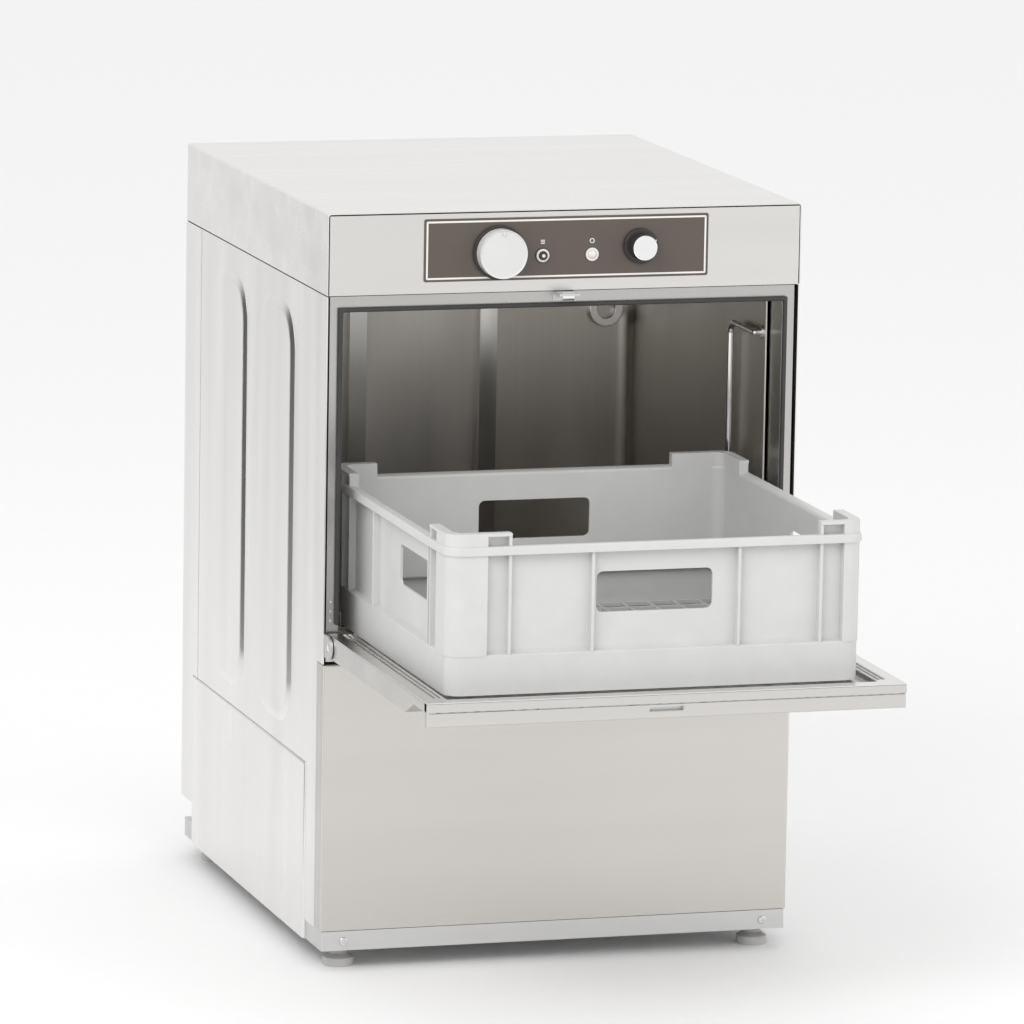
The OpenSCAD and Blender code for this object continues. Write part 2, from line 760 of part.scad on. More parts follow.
// Outer sheet of the open door: underside, finger channel, far edge and folded ends
module door_outer_skin() {
  t = sheet;
  slant = [[grip_start, door_low], [grip_deep, grip_z]];
  color("silver") difference() {
    union() {
      along_x(-door_x, door_x) polygon([
        [door_near, door_low], slant[0], slant[1], [door_far, grip_z], [door_far, door_high - t],
        [door_near, door_high - t]
      ]);
      block([-door_x, door_far, door_low], [door_x, door_far + t, grip_z + 1]);
      block([-door_x, door_far, door_low], [door_x, door_far + 8, door_low + t]);
    }
    along_x(-door_x + t, door_x - t) polygon([
      [door_near - t, door_low + t], slant[0] + [0.4, t], slant[1] + [0.4, t], [door_far + t, grip_z + t],
      [door_far + t, door_high], [door_near - t, door_high]
    ]);
    block([-field_x - t, door_near - t - 1, door_floor - t], [field_x + t, door_near + 1, door_high]);
    both_sides() rod_x(door_x - 3, door_x + 1, hinge_y, hinge_z, pin_r + 0.5);
    block([latch_x - 17, door_far - 1, door_low + 6.5], [latch_x + 17, door_far + 2, door_low + 15]);
  }
}

// Inner sheet of the door: raised lip on three sides round the sunken field the rack slides on
module door_inner_skin() {
  t = sheet;
  groove = 216;
  color("gainsboro") difference() {
    union() {
      block([-door_x, door_far, door_high - t], [door_x, door_near, door_high]);
      block([-field_x - t, door_far + 14, door_floor - t], [field_x + t, door_near, door_high - t]);
      both_sides() block([groove - 3.2, door_far + 22, door_high - 4],
                         [groove + 3.2, door_near - 6, door_high - t]);
    }
    block([-field_x, door_far + 14 + t, door_floor], [field_x, door_near + 1, door_high + 1]);
    both_sides() block([groove - 2, door_far + 23.2, door_high - 2.8],
                       [groove + 2, door_near - 7.2, door_high + 1]);
  }
}

// Foam slab between the door's two sheets
module door_insulation() {
  color("khaki") block([-204, grip_start + 3, door_low + sheet], [204, door_near - 22, door_floor - sheet]);
}

// Pocket in the door's far edge that the latch drops into
module latch_strike() {
  color("dimgrey") translate([latch_x, door_far + sheet, 0]) difference() {
    block([-20, 0, door_low + 4], [20, 7, grip_z - 0.2]);
    block([-16, -1, door_low + 7], [16, 5, grip_z - 2]);
  }
}

// Bracket under the hood's front edge that carries the sprung latch
module latch_housing() {
  color("dimgrey") difference() {
    union() {
      block([latch_x - 10, hinge_y - 7, door_closed_top + 1], [latch_x + 10, frame_y, hood_z - 0.8]);
      block([latch_x - 10, frame_y - sheet, opening_top + 6], [latch_x + 10, frame_y, door_closed_top + 1]);
    }
    block([latch_x - 6.3, latch_front - 0.3, door_closed_top],
          [latch_x + 6.3, latch_front + latch_t + 0.3, hood_z + 1]);
  }
}

// Sprung tongue of the latch, pushed up as the door closes
module latch_tongue() {
  color("silver") {
    along_x(latch_x - 6, latch_x + 6) polygon([
      [latch_front + 1.2, door_closed_top - 4], [latch_front + 2.4, door_closed_top - 4],
      [latch_front + latch_t, door_closed_top - 1], [latch_front + latch_t, hood_z], [latch_front, hood_z],
      [latch_front, door_closed_top - 1]
    ]);
  }
}

// ---- rack ----

// Outline of the rack's outer wall at a given inset, with cut corners
module rack_outline(inset) {
  h = rack_w / 2 - inset;
  c = 14 - inset * 0.6;
  polygon([[h, h - c], [h - c, h], [c - h, h],
           [-h, h - c], [-h, c - h], [c - h, -h], [h - c, -h], [h, c - h]]);
}

// A ring of rack wall between two insets
module rack_ring(outer, inner, z0, z1) {
  translate([0, 0, z0]) linear_extrude(height = z1 - z0) difference() {
    rack_outline(outer);
    rack_outline(inner);
  }
}

// Moulded basket: banded base, thin walls, ribs, rim, raised corners and hand holes
module glass_rack() {
  wall_in = 7;
  base_h = 37;
  corner = 62;
  rib_t = 3;
  side_rib_y = 55;
  side_hole_y = -67;
  color("whitesmoke") translate([0, rack_mid_y, rack_z]) {
    difference() {
      union() {
        rack_ring(0, wall_in + rack_wall, base_h - 3, base_h);
        rack_ring(0, rack_wall, 0, base_h - 3);
        rack_ring(wall_in, wall_in + rack_wall, base_h, rack_rim_h);
        rack_ring(0, wall_in + rack_wall, rack_rim_h - 3, rack_rim_h);
        rack_ring(0, 1.8, rack_rim_h - 7, rack_rim_h - 3);
        intersection() {
          rack_ring(0, wall_in + rack_wall, base_h, rack_corner_h);
          for (a = [0 : 90 : 270]) rotate(a)
            block([rack_w / 2 - corner, rack_w / 2 - corner, base_h],
                  [rack_w / 2, rack_w / 2, rack_corner_h]);
        }
        for (a = [0, 180], x = [-61, 80]) rotate(a)
          block([x - rib_t / 2, -rack_w / 2, base_h], [x + rib_t / 2, -rack_w / 2 + wall_in, rack_rim_h]);
        both_sides() block([rack_w / 2 - wall_in, side_rib_y, base_h],
              [rack_w / 2, side_rib_y + rib_t, rack_rim_h]);
      }
      // hollow behind the outer face of each raised corner
      for (a = [0 : 90 : 270]) rotate(a) both_sides()
        block([rack_w / 2 - corner + 3, -rack_w / 2 - 1, base_h],
              [rack_w / 2 - 24, -rack_w / 2 + wall_in, rack_corner_h - 4]);
      for (a = [0, 180]) rotate(a) translate([0, -rack_w / 2 - 1, 91])
        rotate([-90, 0, 0]) linear_extrude(height = 20) rounded(112, 38, 6);
      both_sides() translate([rack_w / 2 - 19, side_hole_y, 94])
        rotate([90, 0, 90]) linear_extrude(height = 20) rounded(100, 38, 6);
    }
  }
}

// Open floor grid that clips into the foot of the basket
module rack_grid() {
  pitch = 26;
  hole = 11.4;
  color("whitesmoke") translate([0, rack_mid_y, rack_z]) difference() {
    linear_extrude(height = 5) rack_outline(rack_wall);
    for (i = [-7 : 7], j = [-7 : 7]) if (abs(i) + abs(j) < 14)
      translate([i * pitch, j * pitch, 0]) block([-hole, -hole, -1], [hole, hole, 6]);
  }
}

// ---- controls ----

// Turning knob with a skirt, a grip body and a raised pointer that stands at a given angle
module knob(x, z, r, skirt, body_h, turn, tint) {
  color(tint) translate([x, 0, z]) rotate([0, turn, 0]) difference() {
    union() {
      rod_y(0, front_y - 4.8, front_y - 1.2, 0, skirt);
      rod_y(0, front_y - body_h, front_y - 4.8, 0, r);
      block([-1.6, front_y - body_h - 1.2, r - 9], [1.6, front_y - body_h, r - 1]);
    }
    rod_y(0, front_y - body_h + 4, front_y, 0, spindle_bore);
  }
}

module timer_knob() {
  knob(-timer_x, plate_z - 3, timer_r, timer_r + 4, 18, 0, "white");
}

module selector_knob() {
  knob(selector_x, plate_z, selector_r - 5, selector_r, 17, -70, [0.12, 0.12, 0.12]);
}

// Timer and wash selector switches behind the fascia, with their spindles
module rotary_switches() {
  shaft = spindle_bore - fit;
  color("dimgrey") {
    rod_y(-timer_x, front_y - 13.5, front_y + sheet, plate_z - 3, shaft);
    rod_y(-timer_x, front_y + sheet, front_y + 6, plate_z - 3, 12);
    block([-timer_x - 24, front_y + 6, plate_z - 27], [-timer_x + 24, front_y + 42, plate_z + 21]);
    rod_y(selector_x, front_y - 12.5, front_y + sheet, plate_z, shaft);
    rod_y(selector_x, front_y + sheet, front_y + 6, plate_z, 10);
    block([selector_x - 18, front_y + 6, plate_z - 18], [selector_x + 18, front_y + 36, plate_z + 18]);
  }
}

// Guide and contact block of the start button
module button_switch() {
  color("dimgrey") difference() {
    union() {
      rod_y(-24, front_y - 1.6, front_y + 26, plate_z - 7, 5.4);
      rod_y(-24, front_y - 2.2, front_y - 0.8, plate_z - 7, 7);
      block([-34, front_y + 10, plate_z - 17], [-14, front_y + 34, plate_z + 3]);
    }
    rod_y(-24, front_y - 3, front_y + 22, plate_z - 7, 4.3);
  }
}

// Sprung push button that starts the cycle
module start_button() {
  color("silver") rod_y(-24, front_y - 5, front_y + 14, plate_z - 7, 4);
}

// Round indicator lamp
module pilot_lamp() {
  color("white") {
    rod_y(25, front_y - 2.2, front_y - 0.8, plate_z - 7, 7);
    rod_y(25, front_y - 0.8, front_y + 24, plate_z - 7, 5.3);
    translate([25, front_y - 2.2, plate_z - 7]) intersection() {
      sphere(r = 5);
      rotate([90, 0, 0]) cylinder(r = 6, h = 6);
    }
  }
}

// ---- fasteners and feet ----

// Pan-head screws along the base rail, under the hood's back edge and on the service cover
module panel_screws() {
  color("silver") {
    for (x = [-side_x + 24, side_x - 24]) {
      rod_y(x, front_y - 2, front_y, foot_h + 9, 4);
      rod_y(x, front_y, front_y + 7, foot_h + 9, 1.9);
    }
    for (x = [-190, -95, 0, 95, 190], z = [90, 620])
      if (z > 100 || abs(x) < 50) rod_y(x, rear_y + 2, rear_y + 3.8, z, 4);
  }
}

// Adjustable foot: a disc with a coned top on a threaded stud
module foot(x, y) {
  color("lightgrey") {
    rod_z(x, y, 0, 9, foot_r);
    translate([x, y, 9]) cylinder(r1 = foot_r, r2 = 8, h = 4, $fn = 48);
    rod_z(x, y, 13, 16, 8);
    rod_z(x, y, 16, base_top + 8, 5);
  }
}

module foot_front_left() {
  foot(-foot_x, foot_front);
}

module foot_front_right() {
  foot(foot_x, foot_front);
}

module foot_rear_left() {
  foot(-foot_x, foot_rear);
}

module foot_rear_right() {
  foot(foot_x, foot_rear);
}

base_frame();
left_side_panel();
right_side_panel();
service_cover();
front_panel();
back_panel();
hood();
fascia();
control_plate();
door_frame();
door_gasket();
wash_chamber();
wash_tank();
rack_rails();
tank_filter();
pump_strainer();
overflow_pipe();
heating_elements();
dosing_tube();
port_ring();
arm_hubs();
wash_riser();
rinse_pipe();
pump_motor();
pump_volute();
hoses();
boiler();
solenoid_valve();
drain_pump();
detergent_pump();
electrics_box();
pressure_switch();
cable_gland();
hinge_brackets();
latch_housing();
rotary_switches();
button_switch();
pilot_lamp();
panel_screws();
door_outer_skin();
door_inner_skin();
door_insulation();
door_hinge_blocks();
latch_strike();
hinge_pins();
glass_rack();
rack_grid();
lower_wash_arm();
lower_rinse_arm();
upper_wash_arm();
upper_rinse_arm();
timer_knob();
selector_knob();
start_button();
pump_impeller();
latch_tongue();
foot_front_left();
foot_front_right();
foot_rear_left();
foot_rear_right();
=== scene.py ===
import math

import bmesh
import bpy
from mathutils import Matrix, Vector


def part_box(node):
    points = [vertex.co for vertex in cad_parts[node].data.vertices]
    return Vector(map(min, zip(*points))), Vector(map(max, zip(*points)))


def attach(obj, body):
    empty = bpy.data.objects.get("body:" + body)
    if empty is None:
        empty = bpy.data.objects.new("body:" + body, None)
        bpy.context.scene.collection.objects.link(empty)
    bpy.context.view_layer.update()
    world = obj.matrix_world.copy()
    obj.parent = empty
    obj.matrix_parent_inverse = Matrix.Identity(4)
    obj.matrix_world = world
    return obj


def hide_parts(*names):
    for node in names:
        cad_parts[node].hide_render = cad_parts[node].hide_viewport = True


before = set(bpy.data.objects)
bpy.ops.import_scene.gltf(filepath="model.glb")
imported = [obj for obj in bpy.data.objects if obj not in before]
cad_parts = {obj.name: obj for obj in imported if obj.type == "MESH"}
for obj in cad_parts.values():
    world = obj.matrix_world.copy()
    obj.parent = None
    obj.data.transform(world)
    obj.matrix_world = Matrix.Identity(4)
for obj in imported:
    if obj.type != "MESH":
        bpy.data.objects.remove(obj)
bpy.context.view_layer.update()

# ---- Hood ----
# The top, sides and back of the hood are one 1.2 mm stainless sheet, folded with soft corners and
# polished along its width. Its front is open, and the fascia is let into it.

mm = 0.001
sheet = 1.2 * mm


def let_go():
    """Object mode with nothing selected, so that an operator acts only on what is picked next."""
    if bpy.context.object and bpy.context.object.mode != "OBJECT":
        bpy.ops.object.mode_set(mode="OBJECT")
    bpy.ops.object.select_all(action="DESELECT")


def hold(piece):
    """Selects one piece alone and makes it the active one."""
    let_go()
    piece.select_set(True)
    bpy.context.view_layer.objects.active = piece


def settle(name):
    """Names the primitive just added and moves its place into its mesh."""
    piece = bpy.context.object
    piece.name = name
    piece.data.name = name
    bpy.ops.object.transform_apply(location=True, rotation=True, scale=True)
    return piece


def block(name, low, high):
    """A box primitive between two opposite corners."""
    low, high = Vector(low), Vector(high)
    let_go()
    bpy.ops.mesh.primitive_cube_add(size=1, location=(low + high) / 2, scale=high - low)
    return settle(name)


def pick(piece, kind, test):
    """Edit mode, with the faces or edges selected whose middle and direction pass the test."""
    hold(piece)
    bpy.ops.object.mode_set(mode="EDIT")
    bpy.ops.mesh.select_mode(type=kind)
    bpy.ops.mesh.select_all(action="DESELECT")
    shape = bmesh.from_edit_mesh(piece.data)
    shape.normal_update()
    if kind == "FACE":
        for face in shape.faces:
            face.select_set(bool(test(face.calc_center_median(), face.normal)))
    else:
        for edge in shape.edges:
            start, end = (corner.co for corner in edge.verts)
            if test((start + end) / 2, (end - start).normalized()):
                edge.select_set(True)
    shape.select_flush_mode()
    bmesh.update_edit_mesh(piece.data)


def drop(piece, test):
    """Deletes the faces that pass the test."""
    pick(piece, "FACE", test)
    bpy.ops.mesh.delete(type="FACE")
    bpy.ops.object.mode_set(mode="OBJECT")


def fold_edges(piece, radius, test, steps=3):
    """Rounds the edges that pass the test, as a folded sheet is rounded."""
    pick(piece, "EDGE", test)
    bpy.ops.mesh.bevel(offset=radius, segments=steps, affect="EDGES")
    bpy.ops.object.mode_set(mode="OBJECT")


def work(piece, kind, **settings):
    """Adds one modifier and applies it."""
    hold(piece)
    modifier = piece.modifiers.new(kind, kind)
    for key, value in settings.items():
        setattr(modifier, key, value)
    bpy.ops.object.modifier_apply(modifier=modifier.name)


def soften(piece, radius, steps=2, angle=35):
    """Breaks every sharp edge by a small radius."""
    work(piece, "BEVEL", width=radius, segments=steps, limit_method="ANGLE",
         angle_limit=math.radians(angle), miter_outer="MITER_ARC")


def thicken(piece, thickness, side=-1):
    """Gives a sheet its thickness, inward from its outer face unless side is 1."""
    work(piece, "SOLIDIFY", thickness=thickness, offset=side, use_even_offset=True)


def finish_piece(piece, material, body, slot, *nodes):
    """Shades a piece, gives it its finish and its body, and lets it stand for its CAD nodes."""
    hold(piece)
    bpy.ops.object.shade_smooth_by_angle(angle=math.radians(40))
    work(piece, "WEIGHTED_NORMAL", keep_sharp=True, weight=100)
    piece.data.materials.clear()
    piece.data.materials.append(material)
    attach(piece, body)
    if nodes:
        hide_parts(*nodes)
    return piece


def base_material(name, roughness, metallic=0.0):
    """A material with its constant finish set on the shader itself."""
    material = bpy.data.materials.new(name)
    material.use_nodes = True
    shader = material.node_tree.nodes["Principled BSDF"]
    shader.inputs["Metallic"].default_value = metallic
    shader.inputs["Roughness"].default_value = roughness
    return material, material.node_tree, shader


def noise(tree, stretch, low, high, detail=2.0):
    """A stretched noise over the piece, in Object coordinates, as a value between low and high."""
    place = tree.nodes.new("ShaderNodeTexCoord")
    mapping = tree.nodes.new("ShaderNodeMapping")
    grain = tree.nodes.new("ShaderNodeTexNoise")
    span = tree.nodes.new("ShaderNodeMapRange")
    mapping.inputs["Scale"].default_value = stretch
    grain.inputs["Scale"].default_value = 1.0
    grain.inputs["Detail"].default_value = detail
    span.inputs["From Min"].default_value = 0.25
    span.inputs["From Max"].default_value = 0.75
    span.inputs["To Min"].default_value = low
    span.inputs["To Max"].default_value = high
    tree.links.new(place.outputs["Object"], mapping.inputs["Vector"])
    tree.links.new(mapping.outputs["Vector"], grain.inputs["Vector"])
    tree.links.new(grain.outputs["Fac"], span.inputs["Value"])
    return span.outputs["Result"]


def two_tone(tree, shader, dark, light, factor):
    """Colours the surface between two tones by a value from 0 to 1."""
    mix = tree.nodes.new("ShaderNodeMix")
    mix.data_type = "RGBA"
    mix.inputs["A"].default_value = (*dark, 1)
    mix.inputs["B"].default_value = (*light, 1)
    tree.links.new(factor, mix.inputs["Factor"])
    tree.links.new(mix.outputs["Result"], shader.inputs["Base Color"])


def relief(tree, shader, height, depth, strength=1.0):
    """A fine bump from a height value, in metres."""
    bump = tree.nodes.new("ShaderNodeBump")
    bump.inputs["Distance"].default_value = depth
    bump.inputs["Strength"].default_value = strength
    tree.links.new(height, bump.inputs["Height"])
    tree.links.new(bump.outputs["Normal"], shader.inputs["Normal"])


def brushed_steel(name, tone, grain, roughness, wander=0.03):
    """Satin stainless sheet: fine polishing lines along the grain, and slow clouds of tone."""
    material, tree, shader = base_material(name, roughness, 1.0)
    fine = [6 if axis == grain else 900 for axis in "XYZ"]
    broad = [2 if axis == grain else 26 for axis in "XYZ"]
    lines = noise(tree, fine, 0.0, 1.0, 3.0)
    clouds = noise(tree, broad, 0.0, 1.0)
    blend = tree.nodes.new("ShaderNodeMath")
    blend.operation = "MULTIPLY_ADD"
    blend.inputs[1].default_value = 0.45
    tree.links.new(lines, blend.inputs[0])
    half = noise(tree, [5, 5, 5], 0.1, 0.5)
    tree.links.new(half, blend.inputs[2])
    dark = [value * (1 - wander) for value in tone]
    light = [min(1.0, value * (1 + wander)) for value in tone]
    two_tone(tree, shader, dark, light, blend.outputs["Value"])
    rough = tree.nodes.new("ShaderNodeMapRange")
    rough.inputs["To Min"].default_value = roughness - 0.05
    rough.inputs["To Max"].default_value = roughness + 0.07
    tree.links.new(clouds, rough.inputs["Value"])
    tree.links.new(rough.outputs["Result"], shader.inputs["Roughness"])
    relief(tree, shader, lines, 0.02 * mm, 0.35)
    return material


hood_steel = brushed_steel("hood_brushed_steel", (0.80, 0.79, 0.775), "X", 0.27)
hood_low, hood_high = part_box("hood")
fold = 3 * mm

hood = block("hood_shell", hood_low, hood_high)
drop(hood, lambda middle, facing: facing.z < -0.9 or facing.y < -0.9)
fold_edges(hood, fold, lambda middle, line: middle.z > hood_high.z - mm and middle.y > hood_low.y + mm
           or abs(line.z) > 0.9 and middle.y > hood_high.y - mm, 4)
thicken(hood, sheet)
soften(hood, 0.3 * mm, 1, 60)
finish_piece(hood, hood_steel, "root", "brushed_stainless", "hood")

# ---- Fascia ----
# The hood's front is a flat stainless sheet set in the hood with a hairline gap all round. Its lower
# edge is folded back over the door opening, and it is bored for the knobs, the button and the lamp.


def from_cad(name, node, whole_faces=True):
    """A merged copy of a CAD node's mesh; its triangles become whole faces unless it is full of holes."""
    piece = bpy.data.objects.new(name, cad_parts[node].data.copy())
    piece.data.name = name
    piece.data.materials.clear()
    bpy.context.scene.collection.objects.link(piece)
    hold(piece)
    bpy.ops.object.mode_set(mode="EDIT")
    bpy.ops.mesh.select_all(action="SELECT")
    bpy.ops.mesh.remove_doubles(threshold=0.005 * mm)
    if whole_faces:
        bpy.ops.mesh.dissolve_limited(angle_limit=math.radians(1))
    bpy.ops.object.mode_set(mode="OBJECT")
    return piece


fascia_steel = brushed_steel("fascia_brushed_steel", (0.70, 0.685, 0.665), "X", 0.30)
fascia = from_cad("fascia_sheet", "fascia")
soften(fascia, 0.4 * mm)
finish_piece(fascia, fascia_steel, "root", "brushed_stainless", "fascia")

# ---- Control plate ----
# A dark brown printed film on a thin plate, stuck to the fascia. A pale line runs round it just
# inside its edge, and a small plain sign stands above the button and above the lamp.

plate_low, plate_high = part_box("control_plate")
plate_front = plate_low.y
print_t = 0.12 * mm
border_in = 2.2 * mm
border_w = 1.7 * mm
sign_rise = 13 * mm


def speckled(name, tone, roughness, spread=0.06, bumps=0.01 * mm, spots=900, coat=0.0):
    """Moulded plastic, rubber or printed film: a faint mottle and a fine even texture."""
    material, tree, shader = base_material(name, roughness)
    shader.inputs["Coat Weight"].default_value = coat
    mottle = noise(tree, [40] * 3, 0.0, 1.0)
    dark = [value * (1 - spread) for value in tone]
    light = [min(1.0, value * (1 + spread)) for value in tone]
    two_tone(tree, shader, dark, light, mottle)
    relief(tree, shader, noise(tree, [spots] * 3, 0.0, 1.0), bumps, 0.4)
    return material


def ring_frame(name, low, high, width, corner):
    """A flat frame with round corners, standing in the XZ plane."""
    piece = block(name, low, high)
    fold_edges(piece, corner, lambda middle, line: abs(line.y) > 0.9, 5)
    pick(piece, "FACE", lambda middle, facing: abs(facing.y) > 0.9)
    bpy.ops.mesh.inset(thickness=width)
    bpy.ops.mesh.bridge_edge_loops()
    bpy.ops.object.mode_set(mode="OBJECT")
    return piece


film = speckled("control_film", (0.088, 0.068, 0.057), 0.32, 0.05, coat=0.3)
white_print = speckled("white_print", (0.80, 0.78, 0.75), 0.5, 0.02)
plate = from_cad("control_plate_film", "control_plate")
fold_edges(plate, 2 * mm, lambda middle, line: abs(line.y) > 0.9 and abs(middle.x) > 0.13
           and abs(middle.z - (plate_low.z + plate_high.z) / 2) > 25 * mm, 4)
finish_piece(plate, film, "root", "dark_plate", "control_plate")

edge_in = Vector((border_in, 0, border_in))
border_low = Vector((plate_low.x, plate_front - print_t, plate_low.z)) + edge_in
border_high = Vector((plate_high.x, plate_front + print_t, plate_high.z)) - edge_in
border = ring_frame("control_plate_border", border_low, border_high, border_w, 1.2 * mm)
finish_piece(border, white_print, "root", "white_plastic")


def disc(name, centre, radius, y_front, y_rear, sides=48):
    """A cylinder primitive lying along Y, from its front face to its rear one."""
    let_go()
    bpy.ops.mesh.primitive_cylinder_add(vertices=sides, radius=radius, depth=y_rear - y_front,
                                        location=(centre[0], (y_front + y_rear) / 2, centre[1]),
                                        rotation=(math.pi / 2, 0, 0))
    return settle(name)


def front_inset(piece, y_front, width, depth=0.0):
    """Insets the front face and pushes it in by a depth, or out if the depth is below 0."""
    pick(piece, "FACE", lambda middle, facing: facing.y < -0.9 and abs(middle.y - y_front) < 0.02 * mm)
    bpy.ops.mesh.inset(thickness=width, depth=-depth)
    bpy.ops.object.mode_set(mode="OBJECT")


def joined(name, pieces):
    """Several shapes as one piece."""
    let_go()
    for piece in pieces:
        piece.select_set(True)
    bpy.context.view_layer.objects.active = pieces[0]
    bpy.ops.object.join()
    pieces[0].name = name
    pieces[0].data.name = name
    return pieces[0]


def middle_of(node):
    """The middle of a CAD node's box."""
    low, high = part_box(node)
    return (low + high) / 2


button_at = middle_of("start_button")
lamp_at = middle_of("pilot_lamp")
signs = []
for turn in range(3):
    wave_z = button_at.z + sign_rise + (turn - 1) * 1.5 * mm
    signs.append(block("sign_bar", (button_at.x - 2 * mm, plate_front - print_t, wave_z - 0.35 * mm),
                       (button_at.x + 2 * mm, plate_front + print_t, wave_z + 0.35 * mm)))
lamp_sign = disc("sign_ring", (lamp_at.x, lamp_at.z + sign_rise), 2.4 * mm, plate_front - print_t,
                 plate_front + print_t, 32)
pick(lamp_sign, "FACE", lambda middle, facing: abs(facing.y) > 0.9)
bpy.ops.mesh.inset(thickness=0.8 * mm)
bpy.ops.mesh.bridge_edge_loops()
bpy.ops.object.mode_set(mode="OBJECT")
finish_piece(joined("control_plate_signs", signs + [lamp_sign]), white_print, "root", "white_plastic")

# ---- Timer knob ----
# A large white ABS cap, dished in front, on a collar coloured black as painted shade for the dark gap round
# the cap; it is pushed on the timer's spindle. A small raised mark at its rim shows the set time.

timer_low, timer_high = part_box("timer_knob")
timer_at = ((timer_low.x + timer_high.x) / 2, (timer_low.z + timer_high.z) / 2)
collar_r = (timer_high.x - timer_low.x) / 2
cap_r = collar_r - 2.6 * mm
cap_front = timer_low.y + 1.2 * mm

white_cap = speckled("white_knob_plastic", (0.66, 0.66, 0.65), 0.30, 0.02, coat=0.25)
black_abs = speckled("black_knob_plastic", (0.028, 0.026, 0.025), 0.35, 0.1)
# The collar's black is painted shade: it stands for the dark gap round the cap.
collar = disc("timer_knob_shade_collar", timer_at, collar_r, timer_high.y - 3.6 * mm, timer_high.y, 72)
soften(collar, 0.8 * mm, 3)
finish_piece(collar, black_abs, "timer", "black_plastic")
cap = disc("timer_knob_cap", timer_at, cap_r, cap_front, timer_high.y - 3.0 * mm, 72)
front_inset(cap, cap_front, 5.2 * mm)
front_inset(cap, cap_front, 1.4 * mm, 1.3 * mm)
soften(cap, 1.1 * mm, 4, 25)
mark_z = timer_at[1] + cap_r
mark = block("timer_mark", (timer_at[0] - 1.1 * mm, cap_front - 0.7 * mm, mark_z - 5.4 * mm),
             (timer_at[0] + 1.1 * mm, cap_front + mm, mark_z - 1.6 * mm))
soften(mark, 0.3 * mm)
finish_piece(joined("timer_knob_cap", [cap, mark]), white_cap, "timer", "white_plastic", "timer_knob")

# ---- Selector knob ----
# A black skirt with a white pointer line, and a narrower grip with a bright turned cap pressed on
# its face. It is pushed on the selector's spindle.

selector_low, selector_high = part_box("selector_knob")
selector_at = ((selector_low.x + selector_high.x) / 2, (selector_low.z + selector_high.z) / 2)
skirt_r = (selector_high.x - selector_low.x) / 2
grip_r = skirt_r - 4.6 * mm
skirt_front = selector_high.y - 4.2 * mm
grip_front = selector_low.y + 1.6 * mm
pointer_turn = math.radians(-70)

cap_metal = brushed_steel("knob_cap_metal", (0.86, 0.86, 0.86), "X", 0.22, 0.02)
skirt = disc("selector_skirt", selector_at, skirt_r, skirt_front, selector_high.y, 64)
soften(skirt, 1.0 * mm, 3)
grip = disc("selector_grip", selector_at, grip_r, grip_front, skirt_front + mm, 64)
soften(grip, 0.6 * mm, 2)
finish_piece(joined("selector_knob_body", [skirt, grip]), black_abs, "selector", "black_plastic",
             "selector_knob")
bright = disc("selector_knob_face", selector_at, grip_r - 0.5 * mm, selector_low.y + 0.4 * mm,
              grip_front + 0.5 * mm, 64)
front_inset(bright, selector_low.y + 0.4 * mm, 2.2 * mm)
front_inset(bright, selector_low.y + 0.4 * mm, 0.5 * mm, 0.35 * mm)
soften(bright, 0.3 * mm, 2, 25)
finish_piece(bright, cap_metal, "selector", "bright_steel")
pointer = block("selector_knob_pointer",
                (selector_at[0] - 0.9 * mm, skirt_front - 0.35 * mm, selector_at[1] + grip_r),
                (selector_at[0] + 0.9 * mm, skirt_front + 0.4 * mm, selector_at[1] + skirt_r - 1.2 * mm))
hold(pointer)
bpy.ops.object.mode_set(mode="EDIT")
bpy.ops.mesh.select_all(action="SELECT")
bpy.ops.transform.rotate(value=pointer_turn, orient_axis="Y",
                         center_override=(selector_at[0], skirt_front, selector_at[1]))
bpy.ops.object.mode_set(mode="OBJECT")
soften(pointer, 0.15 * mm, 1)
finish_piece(pointer, white_print, "selector", "white_plastic")

# ---- Start button and lamp ----
# The sprung start button sits in a pale bezel ring with a dark well; the lamp beside it is a round
# lens of milky plastic in the same ring. Both snap into the fascia from the front.

bezel_r = 6.4 * mm
well_r = 4.1 * mm
bezel_front = plate_front - 1.9 * mm

pale_plastic = speckled("bezel_plastic", (0.72, 0.71, 0.69), 0.35, 0.03)
lens = speckled("lamp_lens", (0.72, 0.71, 0.68), 0.18, 0.02, coat=0.6)
for owner, spot in (("button", button_at), ("lamp", lamp_at)):
    bezel = disc(owner + "_bezel", (spot.x, spot.z), bezel_r, bezel_front, plate_front, 40)
    pick(bezel, "FACE", lambda middle, facing: abs(facing.y) > 0.9)
    bpy.ops.mesh.inset(thickness=bezel_r - well_r)
    bpy.ops.mesh.bridge_edge_loops()
    bpy.ops.object.mode_set(mode="OBJECT")
    soften(bezel, 0.5 * mm, 3)
    finish_piece(bezel, pale_plastic, "root", "white_plastic")

button_low, button_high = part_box("start_button")
push = disc("start_button_cap", (button_at.x, button_at.z), 3.9 * mm, button_low.y, button_high.y, 40)
front_inset(push, button_low.y, 0.9 * mm)
front_inset(push, button_low.y, 0.3 * mm, 0.7 * mm)
soften(push, 0.25 * mm, 2, 25)
finish_piece(push, black_abs, "button", "black_plastic", "start_button")
dot = disc("start_button_dot", (button_at.x, button_at.z), 1.7 * mm, button_low.y - 0.2 * mm,
           button_low.y + 2 * mm, 24)
soften(dot, 0.4 * mm, 2)
finish_piece(dot, pale_plastic, "button", "white_plastic")

let_go()
bpy.ops.mesh.primitive_uv_sphere_add(segments=32, ring_count=16, radius=well_r,
                                     location=(lamp_at.x, bezel_front + 0.6 * mm, lamp_at.z),
                                     rotation=(math.pi / 2, 0, 0), scale=(1, 1, 0.62))
lamp = settle("pilot_lamp_lens")
finish_piece(lamp, lens, "root", "lamp_lens", "pilot_lamp")

# ---- Side panels ----
# Each side is one stainless sheet with two tall fields pressed out of it to stiffen it, hung between
# the front fold and the back panel's flange. The left one stops above the service cover.

